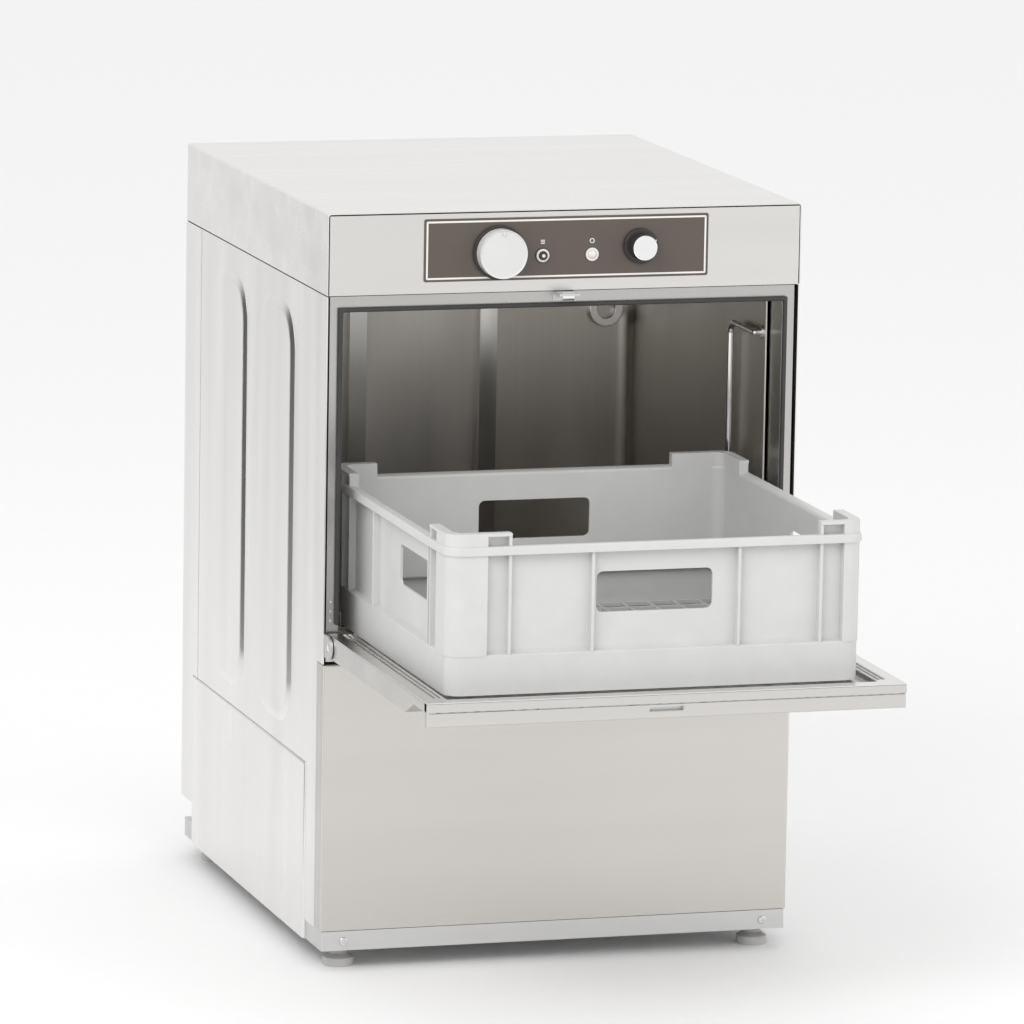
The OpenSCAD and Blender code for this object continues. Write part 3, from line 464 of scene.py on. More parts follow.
side_steel = brushed_steel("side_brushed_steel", (0.82, 0.81, 0.80), "Z", 0.30)
field_rise = 2.6 * mm
field_slope = 8 * mm
field_corner = 45 * mm
field_top, field_foot = 0.625, 0.213
field_spans = ((-0.155, -0.020), (0.025, 0.160))
side_face = 0.2348
front_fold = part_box("front_panel")[0].y + 20.5 * mm
cover_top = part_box("service_cover")[1].z


def cut_at(piece, point, normal):
    """Cuts every face of a piece along a plane, without removing anything."""
    pick(piece, "FACE", lambda middle, facing: True)
    bpy.ops.mesh.bisect(plane_co=point, plane_no=normal)
    bpy.ops.object.mode_set(mode="OBJECT")


def pressed_side(name, side, low, high, lower_spans):
    """A side sheet with its lower tongues, and two oblong fields pressed out with soft slopes."""
    outer_x = side * side_face
    shoulder_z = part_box("front_panel")[1].z + 0.5 * mm
    inner_x = outer_x - side * sheet
    panel = block(name, (min(outer_x, inner_x), low.y, shoulder_z), (max(outer_x, inner_x), high.y, high.z))
    for near, far, foot_z in lower_spans:
        for y in (near, far):
            if low.y < y < high.y:
                cut_at(panel, (0, y, 0), (0, 1, 0))
        pick(panel, "FACE", lambda middle, facing: facing.z < -0.9 and near < middle.y < far)
        bpy.ops.mesh.extrude_region_move(TRANSFORM_OT_translate={"value": (0, 0, foot_z - shoulder_z)})
        bpy.ops.object.mode_set(mode="OBJECT")
    for near, far in field_spans:
        for joining, behind in (("UNION", 0.3 * mm), ("DIFFERENCE", sheet + mm)):
            shift = sheet if joining == "DIFFERENCE" else 0.0
            ends = sorted((outer_x - side * (behind + shift), outer_x + side * (0.1 * mm - shift)))
            pad = block("pad", (ends[0], near + shift, field_foot + shift),
                        (ends[1], far - shift, field_top - shift))
            fold_edges(pad, field_corner - shift, lambda middle, line: abs(line.x) > 0.9, 12)
            pick(pad, "FACE", lambda middle, facing: facing.x * side > 0.9)
            bpy.ops.mesh.inset(thickness=field_slope, depth=field_rise)
            bpy.ops.object.mode_set(mode="OBJECT")
            work(panel, "BOOLEAN", operation=joining, solver="EXACT", object=pad)
            bpy.data.objects.remove(pad)
    crest = side_face + 0.1 * mm + field_rise
    fold_edges(panel, 2.4 * mm, lambda middle, line: abs(abs(middle.x) - crest) < 0.02 * mm, 3)
    return panel


left_low, left_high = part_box("left_side_panel")
right_low, right_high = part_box("right_side_panel")
cover_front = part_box("service_cover")[0].y - 0.5 * mm
cover_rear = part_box("service_cover")[1].y
for side, node, low, high, lower_spans in (
        (-1, "left_side_panel", left_low, left_high,
         ((front_fold, cover_front, left_low.z), (cover_front, left_high.y + mm, cover_top + 0.6 * mm))),
        (1, "right_side_panel", right_low, right_high, ((front_fold, right_high.y + mm, right_low.z),))):
    panel = pressed_side(node + "_sheet", side, low, high, lower_spans)
    finish_piece(panel, side_steel, "root", "brushed_stainless", node)

# ---- Service cover ----
# A lift-off stainless cover over the machine bay on the left, with its edges folded in. It hooks
# over the side panel's lower edge and stands a little proud of it.

cover_low, cover_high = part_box("service_cover")
cover = block("service_cover_sheet", cover_low, cover_high)
drop(cover, lambda middle, facing: facing.x > 0.9 or facing.z < -0.9)
fold_edges(cover, 2.0 * mm, lambda middle, line: middle.x < cover_low.x + mm and middle.z > cover_low.z + mm)
fold_edges(cover, 2.0 * mm, lambda middle, line: abs(line.x) > 0.9 and middle.z > cover_high.z - mm)
thicken(cover, sheet)
finish_piece(cover, side_steel, "root", "brushed_stainless", "service_cover")

# ---- Front panel ----
# The lower front is one stainless sheet, folded back round both front corners and along its top.
# It is screwed behind the door's hinge line and tucked behind the base rail.

front_steel = brushed_steel("front_brushed_steel", (0.61, 0.59, 0.565), "X", 0.34)
front_low, front_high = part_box("front_panel")
front = block("front_panel_sheet", front_low, front_high)
drop(front, lambda middle, facing: facing.y > 0.9 or facing.z < -0.9)
fold_edges(front, 2.2 * mm, lambda middle, line: middle.y < front_low.y + mm
           and middle.z > front_low.z + mm, 4)
thicken(front, sheet)
finish_piece(front, front_steel, "root", "brushed_stainless", "front_panel")

# ---- Back panel ----
# The back is one stainless sheet folded forward down both sides, with rows of plain cooling slots,
# and it is notched at the left beside the service cover.

back_low, back_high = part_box("back_panel")
slot_half = 60 * mm
slot_tall = 4 * mm
slot_pitch = 14 * mm
slot_foot = 250 * mm
back_sheet = block("back_panel_sheet", back_low, back_high)
drop(back_sheet, lambda middle, facing: facing.y < -0.9 or abs(facing.z) > 0.9)
fold_edges(back_sheet, 2.2 * mm, lambda middle, line: abs(line.z) > 0.9 and middle.y > back_high.y - mm, 4)
thicken(back_sheet, sheet)


def cut_out(piece, low, high):
    """Cuts a plain box out of a piece."""
    cutter = block("cutter", low, high)
    work(piece, "BOOLEAN", operation="DIFFERENCE", solver="EXACT", object=cutter)
    bpy.data.objects.remove(cutter)


for step in range(6):
    slot_z = slot_foot + step * slot_pitch
    cut_out(back_sheet, (-slot_half, back_high.y - 5 * mm, slot_z),
            (slot_half, back_high.y + 5 * mm, slot_z + slot_tall))
cut_out(back_sheet, (back_low.x - 5 * mm, back_low.y - mm, back_low.z - mm),
        (back_low.x + 5 * mm, cover_rear + 0.8 * mm, cover_top + 0.6 * mm))
finish_piece(back_sheet, side_steel, "root", "galvanised_sheet", "back_panel")

# ---- Base and door frame ----
# The base rails and the folded frame round the loading opening are bent from plain stainless sheet
# and spot welded.

plain_steel = brushed_steel("plain_sheet_steel", (0.64, 0.64, 0.635), "X", 0.38, 0.05)
frame_steel = brushed_steel("door_frame_steel", (0.50, 0.49, 0.475), "Z", 0.26)
for node, material, slot, whole in (("base_frame", plain_steel, "galvanised_sheet", False),
                                    ("door_frame", frame_steel, "door_liner", True)):
    made = from_cad(node + "_sheet", node, whole)
    if whole:
        soften(made, 0.4 * mm)
    finish_piece(made, material, "root", slot, node)

# ---- Door seal ----
# A black EPDM bulb seal, pushed on the frame's edge up both jambs and along the top.

rubber = speckled("seal_rubber", (0.035, 0.034, 0.034), 0.62, 0.12, 0.03 * mm, 1400)
seal = from_cad("door_seal", "door_gasket")
soften(seal, 1.3 * mm, 3)
finish_piece(seal, rubber, "root", "black_rubber", "door_gasket")

# ---- Wash chamber ----
# A deep-drawn stainless box with round corners, and a raised dome in its ceiling that the upper
# arms turn in. It is welded to the back of the door frame, and open over the tank.

chamber_steel = brushed_steel("chamber_satin_steel", (0.66, 0.63, 0.59), "Z", 0.36, 0.06)
chamber_low, chamber_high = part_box("wash_chamber")
duct_x = 0.188 - sheet
dome_span = (-0.200, 0.170)
dome_foot = 0.645
tank_low, tank_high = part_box("wash_tank")
inner_low = chamber_low + Vector((sheet, sheet, sheet))
inner_high = Vector((chamber_high.x - sheet, chamber_high.y - sheet, dome_foot))
sill_z = 0.3168


chamber = block("wash_chamber_shell", inner_low, inner_high)
fold_edges(chamber, 14 * mm, lambda middle, line: middle.y > inner_low.y + mm
           and (abs(middle.x) > 0.2 or middle.y > inner_high.y - mm), 5)
cut_at(chamber, (0, 0, sill_z), (0, 0, 1))
for x in (-duct_x, duct_x):
    cut_at(chamber, (x, 0, 0), (1, 0, 0))
for y in dome_span:
    cut_at(chamber, (0, y, 0), (0, 1, 0))
drop(chamber, lambda middle, facing: facing.y < -0.9 and middle.z > sill_z)
pick(chamber, "FACE", lambda middle, facing: facing.z > 0.9 and abs(middle.x) < duct_x
     and dome_span[0] < middle.y < dome_span[1])
bpy.ops.mesh.extrude_region_move(TRANSFORM_OT_translate={"value": (0, 0, chamber_high.z - sheet - dome_foot)})
bpy.ops.object.mode_set(mode="OBJECT")
fold_edges(chamber, 9 * mm, lambda middle, line: middle.z > dome_foot - mm and abs(middle.x) < duct_x + mm
           and dome_span[0] - mm < middle.y < dome_span[1] + mm, 4)
for x in (tank_low.x + 10 * mm, tank_high.x - 10 * mm):
    cut_at(chamber, (x, 0, 0), (1, 0, 0))
for y in (tank_low.y + 10 * mm, tank_high.y - 10 * mm):
    cut_at(chamber, (0, y, 0), (0, 1, 0))
drop(chamber, lambda middle, facing: facing.z < -0.9 and middle.z < inner_low.z + mm
     and abs(middle.x) < tank_high.x - 10 * mm and tank_low.y + 10 * mm < middle.y < tank_high.y - 10 * mm)
chamber.data.flip_normals()
thicken(chamber, sheet)
finish_piece(chamber, chamber_steel, "root", "chamber_stainless", "wash_chamber")

# ---- Tank, ducts, rails and strainers ----
# Sheet fittings in the chamber: the tank, the two flat ducts up the rear wall, the angle rails and
# the drilled strainer sheet. They are spot welded or lift out for cleaning.

duct_steel = brushed_steel("duct_steel", (0.74, 0.72, 0.69), "Z", 0.22, 0.05)
for node, material, edge in (("wash_tank", chamber_steel, 0.4), ("wash_riser", duct_steel, 1.2),
                             ("rinse_pipe", duct_steel, 1.0), ("rack_rails", duct_steel, 0.4)):
    made = from_cad(node + "_steel", node)
    soften(made, edge * mm)
    finish_piece(made, material, "root", "chamber_stainless", node)


def drilled_steel(name, tone, pitch, hole):
    """Stainless sheet with rows of small round holes, painted near-black inside as the shade seen through
    them.
    """
    material, tree, shader = base_material(name, 0.32, 1.0)
    place = tree.nodes.new("ShaderNodeTexCoord")
    cells = tree.nodes.new("ShaderNodeVectorMath")
    cells.operation = "SCALE"
    cells.inputs["Scale"].default_value = 1 / pitch
    fraction = tree.nodes.new("ShaderNodeVectorMath")
    fraction.operation = "FRACTION"
    centred = tree.nodes.new("ShaderNodeVectorMath")
    centred.operation = "SUBTRACT"
    centred.inputs[1].default_value = (0.5, 0.5, 0)
    flat = tree.nodes.new("ShaderNodeVectorMath")
    flat.operation = "MULTIPLY"
    flat.inputs[1].default_value = (1, 1, 0)
    reach = tree.nodes.new("ShaderNodeVectorMath")
    reach.operation = "LENGTH"
    rim = tree.nodes.new("ShaderNodeMapRange")
    rim.inputs["From Min"].default_value = hole / pitch - 0.06
    rim.inputs["From Max"].default_value = hole / pitch + 0.06
    tree.links.new(place.outputs["Object"], cells.inputs[0])
    tree.links.new(cells.outputs["Vector"], fraction.inputs[0])
    tree.links.new(fraction.outputs["Vector"], centred.inputs[0])
    tree.links.new(centred.outputs["Vector"], flat.inputs[0])
    tree.links.new(flat.outputs["Vector"], reach.inputs[0])
    tree.links.new(reach.outputs["Value"], rim.inputs["Value"])
    # The near-black in each hole is painted shade, the dark seen through the sheet.
    two_tone(tree, shader, (0.03, 0.03, 0.03), tone, rim.outputs["Result"])
    relief(tree, shader, rim.outputs["Result"], 0.6 * mm, 0.6)
    return material


strainer_steel = drilled_steel("strainer_drilled_steel", (0.62, 0.61, 0.59), 6 * mm, 1.6 * mm)
filter_sheet = from_cad("tank_filter_sheet", "tank_filter")
soften(filter_sheet, 0.4 * mm)
finish_piece(filter_sheet, strainer_steel, "root", "chamber_stainless", "tank_filter")

# ---- Small bright fittings ----
# The dosing tube on the right wall, the screwed port ring in the rear wall, the hinge pins and the
# sprung latch tongue are polished or turned stainless steel.

polished = brushed_steel("polished_steel", (0.80, 0.80, 0.80), "Z", 0.14, 0.02)
for node, body, edge in (("dosing_tube", "root", 0.3), ("port_ring", "root", 1.2),
                         ("hinge_pins", "door_pins", 0.6), ("latch_tongue", "latch", 0.4)):
    made = from_cad(node + "_turned", node)
    soften(made, edge * mm)
    finish_piece(made, polished, body, "bright_steel", node)

# ---- Spray arms ----
# Each arm is a flattened stainless tube with round closed ends, a turned hub and a row of jets. The
# wash arm and the narrow rinse arm turn by themselves on one spindle.

arm_steel = brushed_steel("spray_arm_steel", (0.72, 0.715, 0.70), "X", 0.24)
grey_moulding = speckled("grey_moulding", (0.14, 0.145, 0.15), 0.42, 0.08)
for node, body in (("lower_wash_arm", "lower_wash"), ("lower_rinse_arm", "lower_rinse"),
                   ("upper_wash_arm", "upper_wash"), ("upper_rinse_arm", "upper_rinse")):
    made = from_cad(node + "_tube", node)
    soften(made, 0.9 * mm, 3)
    finish_piece(made, arm_steel, body, "arm_stainless", node)
hubs = from_cad("arm_spindles", "arm_hubs")
soften(hubs, 0.4 * mm)
finish_piece(hubs, grey_moulding, "root", "grey_plastic", "arm_hubs")

# ---- Door outer sheet ----
# A shallow pan of stainless sheet: the underside of the open door, its folded ends, and a finger
# channel before the deep front edge, which carries the latch's slot.

door_steel = brushed_steel("door_brushed_steel", (0.60, 0.585, 0.565), "X", 0.30)
pan_low, pan_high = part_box("door_outer_skin")
pan_top = pan_high.z
grip_z = pan_low.z + 13 * mm
grip_start = pan_low.y + 76 * mm
grip_deep = pan_low.y + 47 * mm
lip_back = 8 * mm
strike_x = (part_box("latch_strike")[0].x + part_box("latch_strike")[1].x) / 2

pan = block("pan", pan_low, (pan_high.x, pan_high.y, pan_top))
cut_at(pan, (0, grip_start, 0), (0, 1, 0))
cut_at(pan, (0, grip_deep, 0), (0, 1, 0))
pick(pan, "EDGE", lambda middle, line: abs(line.x) > 0.9 and middle.z < pan_low.z + mm
     and middle.y < grip_deep + mm)
bpy.ops.transform.translate(value=(0, 0, grip_z - pan_low.z))
bpy.ops.object.mode_set(mode="OBJECT")
drop(pan, lambda middle, facing: facing.z > 0.9 or facing.y < -0.9)
fold_edges(pan, 1.6 * mm, lambda middle, line: middle.z < pan_top - 4 * mm
           and (abs(line.x) > 0.9 and middle.y > pan_low.y + mm or abs(middle.x) > pan_high.x - mm
                and abs(line.y) > 0.3), 3)
fold_edges(pan, 1.6 * mm, lambda middle, line: abs(line.z) > 0.9 and middle.y > pan_high.y - mm, 3)
thicken(pan, sheet)
edge_strip = block("edge_strip", pan_low, (pan_high.x, pan_low.y + lip_back, pan_top))
drop(edge_strip, lambda middle, facing: facing.y > 0.9 or facing.z > 0.9)
fold_edges(edge_strip, 1.8 * mm, lambda middle, line: middle.y < pan_low.y + mm
           and middle.z < pan_top - mm, 4)
thicken(edge_strip, sheet)
slot_cut = block("slot_cut", (strike_x - 17 * mm, pan_low.y - 5 * mm, pan_low.z + 6.5 * mm),
                 (strike_x + 17 * mm, pan_low.y + 4 * mm, pan_low.z + 12 * mm))
fold_edges(slot_cut, 2 * mm, lambda middle, line: abs(line.y) > 0.9)
work(edge_strip, "BOOLEAN", operation="DIFFERENCE", solver="EXACT", object=slot_cut)
bpy.data.objects.remove(slot_cut)
finish_piece(joined("door_outer_sheet", [pan, edge_strip]), door_steel, "door", "brushed_stainless",
             "door_outer_skin")

# ---- Door inner sheet ----
# The inside of the door: a raised lip round three sides, drawn grooves along both sides, and a
# sunken field with round edges that the rack slides on.

liner_steel = brushed_steel("door_liner_steel", (0.74, 0.73, 0.715), "X", 0.24)
liner_low, liner_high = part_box("door_inner_skin")
field_x = 0.207
field_front = liner_low.y + 15.2 * mm
field_z = 0.322
grooves = ((209.5 * mm, 212.5 * mm), (214.5 * mm, 217.5 * mm))
groove_front = field_front + 8 * mm
groove_rear = liner_high.y - 6 * mm
groove_deep = 3.2 * mm

liner = block("door_inner_sheet", (liner_low.x, liner_low.y, liner_high.z - mm), liner_high)
drop(liner, lambda middle, facing: facing.z < 0.9)
for x in [field_x] + [value for pair in grooves for value in pair]:
    cut_at(liner, (x, 0, 0), (1, 0, 0))
    cut_at(liner, (-x, 0, 0), (1, 0, 0))
for y in (field_front, groove_front, groove_rear):
    cut_at(liner, (0, y, 0), (0, 1, 0))
pick(liner, "FACE", lambda middle, facing: abs(middle.x) < field_x and middle.y > field_front)
bpy.ops.mesh.extrude_region_move(TRANSFORM_OT_translate={"value": (0, 0, field_z - liner_high.z)})
bpy.ops.object.mode_set(mode="OBJECT")
drop(liner, lambda middle, facing: abs(facing.y) > 0.9 and middle.y > liner_high.y - mm)
for inner, outer in grooves:
    pick(liner, "FACE", lambda middle, facing: inner < abs(middle.x) < outer
         and groove_front < middle.y < groove_rear and facing.z > 0.9)
    bpy.ops.mesh.extrude_region_move(TRANSFORM_OT_translate={"value": (0, 0, -groove_deep)})
    bpy.ops.object.mode_set(mode="OBJECT")
work(liner, "BEVEL", width=0.9 * mm, segments=3, limit_method="ANGLE", angle_limit=math.radians(40))
thicken(liner, 0.9 * mm)
finish_piece(liner, liner_steel, "door", "door_liner", "door_inner_skin")

# ---- Glass rack ----
# One white polypropylene moulding for 400 mm racks: a banded foot, thin walls set in behind it, a
# turned-over rim, raised corner posts, upright ribs, and hand holes in all four walls.

rack_low, rack_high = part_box("glass_rack")
rack_mid = Vector(((rack_low.x + rack_high.x) / 2, (rack_low.y + rack_high.y) / 2, rack_low.z))
rack_half = (rack_high.x - rack_low.x) / 2
rim_z = rack_low.z + 136 * mm
band_z = rack_low.z + 37 * mm
wall_in = 7 * mm
wall_t = 2.4 * mm
corner_cut = 15 * mm
rack_white = speckled("rack_polypropylene", (0.60, 0.60, 0.59), 0.42, 0.025, 0.02 * mm, 500)
rack_shader = rack_white.node_tree.nodes["Principled BSDF"]
rack_shader.inputs["Subsurface Weight"].default_value = 0.08
rack_shader.inputs["Subsurface Radius"].default_value = (3 * mm, 3 * mm, 3 * mm)

walls = block("walls", rack_low, (rack_high.x, rack_high.y, band_z))
fold_edges(walls, corner_cut, lambda middle, line: abs(line.z) > 0.9, 3)
drop(walls, lambda middle, facing: abs(facing.z) > 0.9)


def grow_wall(rise, inset):
    """Draws the wall's upper edge on: up by a rise, and in by an inset from its present line."""
    pick(walls, "EDGE", lambda middle, line: abs(line.z) < 0.1 and abs(middle.z - grow_wall.at) < 0.01 * mm)
    bpy.ops.mesh.extrude_edges_move()
    present = rack_half - grow_wall.inset
    share = (present - inset) / present
    bpy.ops.transform.resize(value=(share, share, 1), center_override=(rack_mid.x, rack_mid.y, 0))
    bpy.ops.transform.translate(value=(0, 0, rise))
    bpy.ops.object.mode_set(mode="OBJECT")
    grow_wall.at += rise
    grow_wall.inset += inset


grow_wall.at = band_z
grow_wall.inset = 0.0
grow_wall(1.2 * mm, wall_in)
grow_wall(rim_z - band_z - 2.4 * mm, 0.0)
grow_wall(1.2 * mm, -wall_in)
pick(walls, "EDGE", lambda middle, line: abs(line.z) < 0.1 and abs(middle.z - grow_wall.at) < 0.01 * mm)
bpy.ops.mesh.extrude_edges_move(TRANSFORM_OT_translate={"value": (0, 0, -6 * mm)})
bpy.ops.object.mode_set(mode="OBJECT")
work(walls, "BEVEL", width=1.0 * mm, segments=2, limit_method="ANGLE", angle_limit=math.radians(50))
thicken(walls, wall_t)

hand_z = (rack_low.z + 72 * mm, rack_low.z + 110 * mm)
for span_x, span_y in (((-56 * mm, 56 * mm), (rack_low.y - 10 * mm, rack_high.y + 10 * mm)),
                       ((rack_low.x - 10 * mm, rack_high.x + 10 * mm),
                        (rack_mid.y - 117 * mm, rack_mid.y - 17 * mm))):
    hand = block("hand_cut", (span_x[0], span_y[0], hand_z[0]), (span_x[1], span_y[1], hand_z[1]))
    through_x = span_x[1] > rack_high.x
    fold_edges(hand, 6 * mm, lambda middle, line: abs(line.x if through_x else line.y) > 0.9, 4)
    work(walls, "BOOLEAN", operation="DIFFERENCE", solver="EXACT", object=hand)
    bpy.data.objects.remove(hand)

rack_parts = [walls]
post_top = rack_high.z
rib_w = 3.0 * mm
rib_reach = wall_in + 1.0 * mm


def rib(x, y, along_x, width=rib_w, top=rim_z - 2 * mm):
    """An upright rib or post face on the outside of a wall, centred on x or y."""
    out = math.copysign(rib_reach, y - rack_mid.y if along_x else x - rack_mid.x)
    low = Vector((x - width / 2, min(y, y - out), band_z)) if along_x \
        else Vector((min(x, x - out), y - width / 2, band_z))
    high = Vector((x + width / 2, max(y, y - out), top)) if along_x \
        else Vector((max(x, x - out), y + width / 2, top))
    made = block("rib", low, high)
    soften(made, 0.5 * mm)
    rack_parts.append(made)


front_ribs = (-61 * mm, 80 * mm)
side_ribs = (rack_mid.y + 55 * mm, rack_mid.y - 133 * mm)
for x in front_ribs:
    rib(x, rack_low.y, True)
    rib(-x, rack_high.y, True)
for y in side_ribs:
    rib(rack_low.x, y, False)
    rib(rack_high.x, 2 * rack_mid.y - y, False)

# A raised corner is an angle of wall that follows the basket's rounded outline up past the rim: a
# flat outer face, an open pocket beside it, and a ledge over both.


def outline(name, inset, low_z, high_z):
    """A solid with the basket's rounded outline, taken in by an inset."""
    made = block(name, (rack_low.x + inset, rack_low.y + inset, low_z),
                 (rack_high.x - inset, rack_high.y - inset, high_z))
    fold_edges(made, corner_cut - 0.6 * inset, lambda middle, line: abs(line.z) > 0.9, 3)
    return made


def corner_ring(outer_in, inner_in, low_z, high_z, reaches):
    """The parts of a wall ring that lie in the four corners, each with its own reach along x and y."""
    ring = outline("ring", outer_in, low_z, high_z)
    inside = outline("inside", inner_in, low_z - mm, high_z + mm)
    work(ring, "BOOLEAN", operation="DIFFERENCE", solver="EXACT", object=inside)
    bpy.data.objects.remove(inside)
    corners = []
    for out_x, out_y, reach_x, reach_y in reaches:
        xs = sorted((rack_mid.x + out_x * (rack_half + mm), rack_mid.x + out_x * (rack_half - reach_x * mm)))
        ys = sorted((rack_mid.y + out_y * (rack_half + mm), rack_mid.y + out_y * (rack_half - reach_y * mm)))
        corners.append(block("corner", (xs[0], ys[0], low_z - mm), (xs[1], ys[1], high_z + mm)))
    keep = joined("keep", corners)
    work(ring, "BOOLEAN", operation="INTERSECT", solver="EXACT", object=keep)
    bpy.data.objects.remove(keep)
    soften(ring, 0.5 * mm)
    rack_parts.append(ring)


wide = ((-1, -1, 61, 61), (1, -1, 42, 61), (-1, 1, 42, 61), (1, 1, 61, 61))
narrow = ((-1, -1, 38, 38), (1, -1, 19, 38), (-1, 1, 19, 38), (1, 1, 38, 38))
skin = 0.6 * mm
corner_ring(-skin, wall_in + wall_t, post_top - 3 * mm, post_top, wide)
corner_ring(-skin, wall_in + mm, band_z - mm, post_top - 2 * mm, narrow)
corner_ring(wall_in, wall_in + wall_t, rim_z - 4 * mm, post_top - 2 * mm, wide)
for out_x, out_y, reach_x, reach_y in wide:
    rib(rack_mid.x + out_x * (rack_half - reach_x * mm + rib_w / 2), rack_mid.y + out_y * rack_half, True,
        rib_w, post_top - 2 * mm)
    rib(rack_mid.x + out_x * rack_half, rack_mid.y + out_y * (rack_half - reach_y * mm + rib_w / 2), False,
        rib_w, post_top - 2 * mm)

rack = joined("glass_rack_basket", rack_parts)
finish_piece(rack, rack_white, "rack", "rack_plastic", "glass_rack")

# The open floor is two layers of slim bars, each made as its own box, set between the walls.
grid_low, grid_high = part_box("rack_grid")
grid_pitch = 26 * mm
bar_w = 3.2 * mm
layer_drop = 0.3 * mm
bars = []
for step in range(-8, 8):
    place = (step + 0.5) * grid_pitch
    reach = grid_high.x - (14 * mm if step in (-8, 7) else 1.5 * mm)
    bars.append(block("bar", (place - bar_w / 2, rack_mid.y - reach, grid_low.z),
                      (place + bar_w / 2, rack_mid.y + reach, grid_high.z)))
    bars.append(block("bar", (-reach, rack_mid.y + place - bar_w / 2, grid_low.z + layer_drop),
                      (reach, rack_mid.y + place + bar_w / 2, grid_high.z - layer_drop)))
grid = joined("glass_rack_grid", bars)
soften(grid, 0.5 * mm)
finish_piece(grid, rack_white, "rack", "rack_plastic", "rack_grid")

# ---- Screws ----
# Pan-head stainless screws with a cross recess hold the base rail and the back sheet, and three
# small rivets close the door frame beside the left hinge.

screw_steel = brushed_steel("screw_steel", (0.72, 0.72, 0.72), "X", 0.22, 0.05)
head_r = 4 * mm
head_t = 2 * mm


def screw_head(x, y, z, facing, radius=head_r, recess=True):
    """One pan head whose flat side sits at y; facing is -1 for the front of the machine."""
    ends = sorted((y, y + facing * head_t * radius / head_r))
    head = disc("head", (x, z), radius, ends[0], ends[1], 24)
    soften(head, radius * 0.28, 3)
    if recess:
        for wide, tall in ((2.1 * mm, 0.45 * mm), (0.45 * mm, 2.1 * mm)):
            face_y = y + facing * head_t
            cross = block("cross", (x - wide, face_y - 0.9 * mm, z - tall),
                          (x + wide, face_y + 0.9 * mm, z + tall))
            work(head, "BOOLEAN", operation="DIFFERENCE", solver="EXACT", object=cross)
            bpy.data.objects.remove(cross)
    return head


rail_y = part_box("base_frame")[0].y
rail_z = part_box("base_frame")[0].z + 9 * mm
back_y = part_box("back_panel")[1].y
heads = [screw_head(side * 0.211, rail_y, rail_z, -1) for side in (-1, 1)]
heads += [screw_head(x, back_y, 0.620, 1) for x in (-0.190, -0.095, 0, 0.095, 0.190)]
heads += [screw_head(0, back_y, 0.090, 1)]
flange_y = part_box("door_frame")[0].y
heads += [screw_head(-0.2265, flange_y, 0.340 + 0.009 * step, -1, 1.5 * mm, False) for step in range(3)]
finish_piece(joined("panel_screw_heads", heads), screw_steel, "root", "bright_steel", "panel_screws")

# ---- Feet ----
# Four adjustable feet: a light grey nylon disc with a coned shoulder and a hexagon collar, moulded on
# a threaded steel stud that screws into the base.

nylon = speckled("foot_nylon", (0.46, 0.455, 0.44), 0.45, 0.05, 0.02 * mm, 700)
foot_bodies = {"foot_front_left": "foot_fl", "foot_front_right": "foot_fr",
               "foot_rear_left": "foot_rl", "foot_rear_right": "foot_rr"}


def ring_up(piece, rise, radius_share):
    """Draws the top face up and narrows or widens it."""
    top = max(corner.co.z for corner in piece.data.vertices)
    pick(piece, "FACE", lambda middle, facing: facing.z > 0.9 and middle.z > top - 0.05 * mm)
    bpy.ops.mesh.extrude_region_move(TRANSFORM_OT_translate={"value": (0, 0, rise)})
    bpy.ops.transform.resize(value=(radius_share, radius_share, 1), center_override=(*foot_mid, 0))
    bpy.ops.object.mode_set(mode="OBJECT")


for node, body in foot_bodies.items():
    foot_low, foot_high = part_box(node)
    foot_mid = ((foot_low.x + foot_high.x) / 2, (foot_low.y + foot_high.y) / 2)
    foot_r = (foot_high.x - foot_low.x) / 2
    let_go()
    bpy.ops.mesh.primitive_cylinder_add(vertices=48, radius=foot_r, depth=8 * mm,
                                        location=(*foot_mid, foot_low.z + 4 * mm))
    base = settle(node + "_disc")
    ring_up(base, 3.5 * mm, 0.62)
    ring_up(base, 1.0 * mm, 0.96)
    ring_up(base, 3.0 * mm, 1.0)
    ring_up(base, 0.2 * mm, 0.52)
    for turn in range(3):
        ring_up(base, 0.5 * mm, 1.12)
        ring_up(base, 0.5 * mm, 1 / 1.12)
    ring_up(base, foot_high.z - 18.7 * mm - foot_low.z, 1.0)
    soften(base, 0.5 * mm, 2)
    finish_piece(base, nylon, body, "foot_plastic", node)

# ---- Hidden machinery ----
# The pumps, boiler, valve, switches, wiring box, hoses, brackets and latch parts sit in the machine
# bay or inside the door. They keep their plain working shapes, each in its own material.

motor_paint = speckled("motor_paint", (0.055, 0.06, 0.065), 0.45, 0.1)
white_moulding = speckled("white_moulding", (0.74, 0.74, 0.72), 0.38, 0.03)
foam_stuff = speckled("insulation_foam", (0.62, 0.55, 0.34), 0.85, 0.12, 0.2 * mm, 500)
element_steel = brushed_steel("element_sheath", (0.34, 0.32, 0.30), "X", 0.40, 0.08)
boiler_steel = brushed_steel("boiler_steel", (0.66, 0.655, 0.64), "X", 0.30, 0.05)
hose_rubber = speckled("hose_rubber", (0.03, 0.03, 0.032), 0.55, 0.1)
strainer_plastic = speckled("strainer_plastic", (0.16, 0.165, 0.17), 0.45, 0.08)
black_moulding = speckled("black_moulding", (0.025, 0.025, 0.026), 0.42, 0.1)
hidden = {"pump_strainer": strainer_plastic, "overflow_pipe": strainer_plastic,
          "heating_elements": element_steel, "pump_motor": motor_paint, "pump_volute": grey_moulding,
          "hoses": hose_rubber, "boiler": boiler_steel, "solenoid_valve": white_moulding,
          "drain_pump": white_moulding, "detergent_pump": white_moulding, "electrics_box": plain_steel,
          "pressure_switch": white_moulding, "cable_gland": black_moulding,
          "hinge_brackets": plain_steel, "latch_housing": plain_steel,
          "rotary_switches": black_moulding, "button_switch": black_moulding,
          "door_insulation": foam_stuff, "door_hinge_blocks": motor_paint, "latch_strike": plain_steel,
          "pump_impeller": white_moulding}
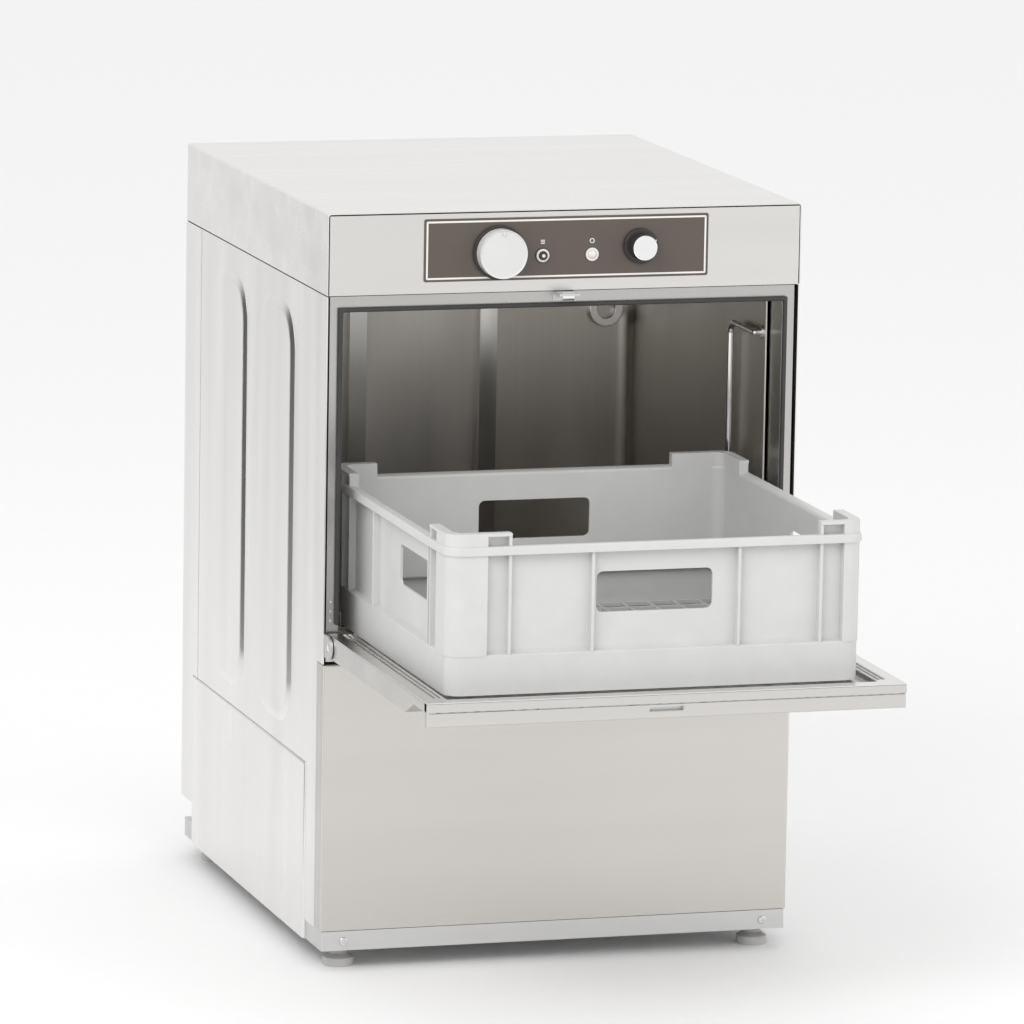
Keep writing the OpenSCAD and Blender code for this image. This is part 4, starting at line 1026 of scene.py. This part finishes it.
for node, material in hidden.items():
    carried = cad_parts[node]
    if not carried.material_slots:
        carried.data.materials.append(material)
    for place in carried.material_slots:
        place.material = material

# ---- Studio ----
# A pale floor that runs back into a white room, one broad soft light from the upper left front, a
# weaker one from the right, and the camera a few metres off with a long lens.

camera_azimuth, camera_elevation, camera_roll = (math.radians(angle) for angle in (-16.77, 9.95, 0.97))
camera_far = 7.504
camera_target = Vector((0.0316, 0.0, 0.3901))
sensor = 36.0
lens_share = 7571 / 1024

back = Vector((math.sin(camera_azimuth) * math.cos(camera_elevation),
               -math.cos(camera_azimuth) * math.cos(camera_elevation), math.sin(camera_elevation)))
right = (-back).cross(Vector((0, 0, 1))).normalized()
up = right.cross(-back)
camera_data = bpy.data.cameras.new("camera")
camera_data.sensor_width = sensor
camera_data.lens = sensor * lens_share
camera_data.clip_end = 100
camera = bpy.data.objects.new("camera", camera_data)
bpy.context.scene.collection.objects.link(camera)
across = right * math.cos(camera_roll) + up * math.sin(camera_roll)
above = up * math.cos(camera_roll) - right * math.sin(camera_roll)
camera.rotation_euler = Matrix((across, above, back)).transposed().to_euler()
camera.location = camera_target + back * camera_far
bpy.context.scene.camera = camera

let_go()
bpy.ops.mesh.primitive_plane_add(size=60)
floor = settle("studio_floor")
floor_paint = speckled("floor_paint", (0.93, 0.93, 0.93), 0.9, 0.005)
floor.data.materials.append(floor_paint)


def softbox(name, place, aim, size, power):
    """A square area light turned towards a point."""
    light = bpy.data.lights.new(name, "AREA")
    light.size = size
    light.energy = power
    lamp_object = bpy.data.objects.new(name, light)
    bpy.context.scene.collection.objects.link(lamp_object)
    lamp_object.location = place
    lamp_object.visible_camera = False
    direction = Vector(aim) - Vector(place)
    lamp_object.rotation_euler = direction.to_track_quat("-Z", "Y").to_euler()


def dark_flag(name, start, end, tall):
    """A black card standing on the floor that only reflections see, to draw out folds in the steel."""
    let_go()
    bpy.ops.mesh.primitive_plane_add(size=1)
    card = settle(name)
    for corner, place in zip(card.data.vertices, ((*start, 0), (*end, 0), (*start, tall), (*end, tall))):
        corner.co = place
    card.data.materials.append(flag_cloth)
    card.visible_camera = False
    card.visible_diffuse = False
    card.visible_shadow = False
    card.visible_transmission = False


flag_cloth = speckled("flag_cloth", (0.03, 0.03, 0.03), 0.95)
dark_flag("side_flag", (-1.30, 0.22), (-0.95, 0.95), 1.3)
softbox("key_softbox", (-2.4, -2.6, 2.9), (0, -0.2, 0.4), 2.2, 60)
softbox("fill_softbox", (2.8, -2.4, 1.6), (0, -0.2, 0.4), 2.0, 18)
room = bpy.data.worlds.new("white_room")
room.use_nodes = True
room.node_tree.nodes["Background"].inputs["Color"].default_value = (1, 1, 1, 1)
room.node_tree.nodes["Background"].inputs["Strength"].default_value = 0.95
bpy.context.scene.world = room
bpy.context.scene.view_settings.view_transform = "Standard"
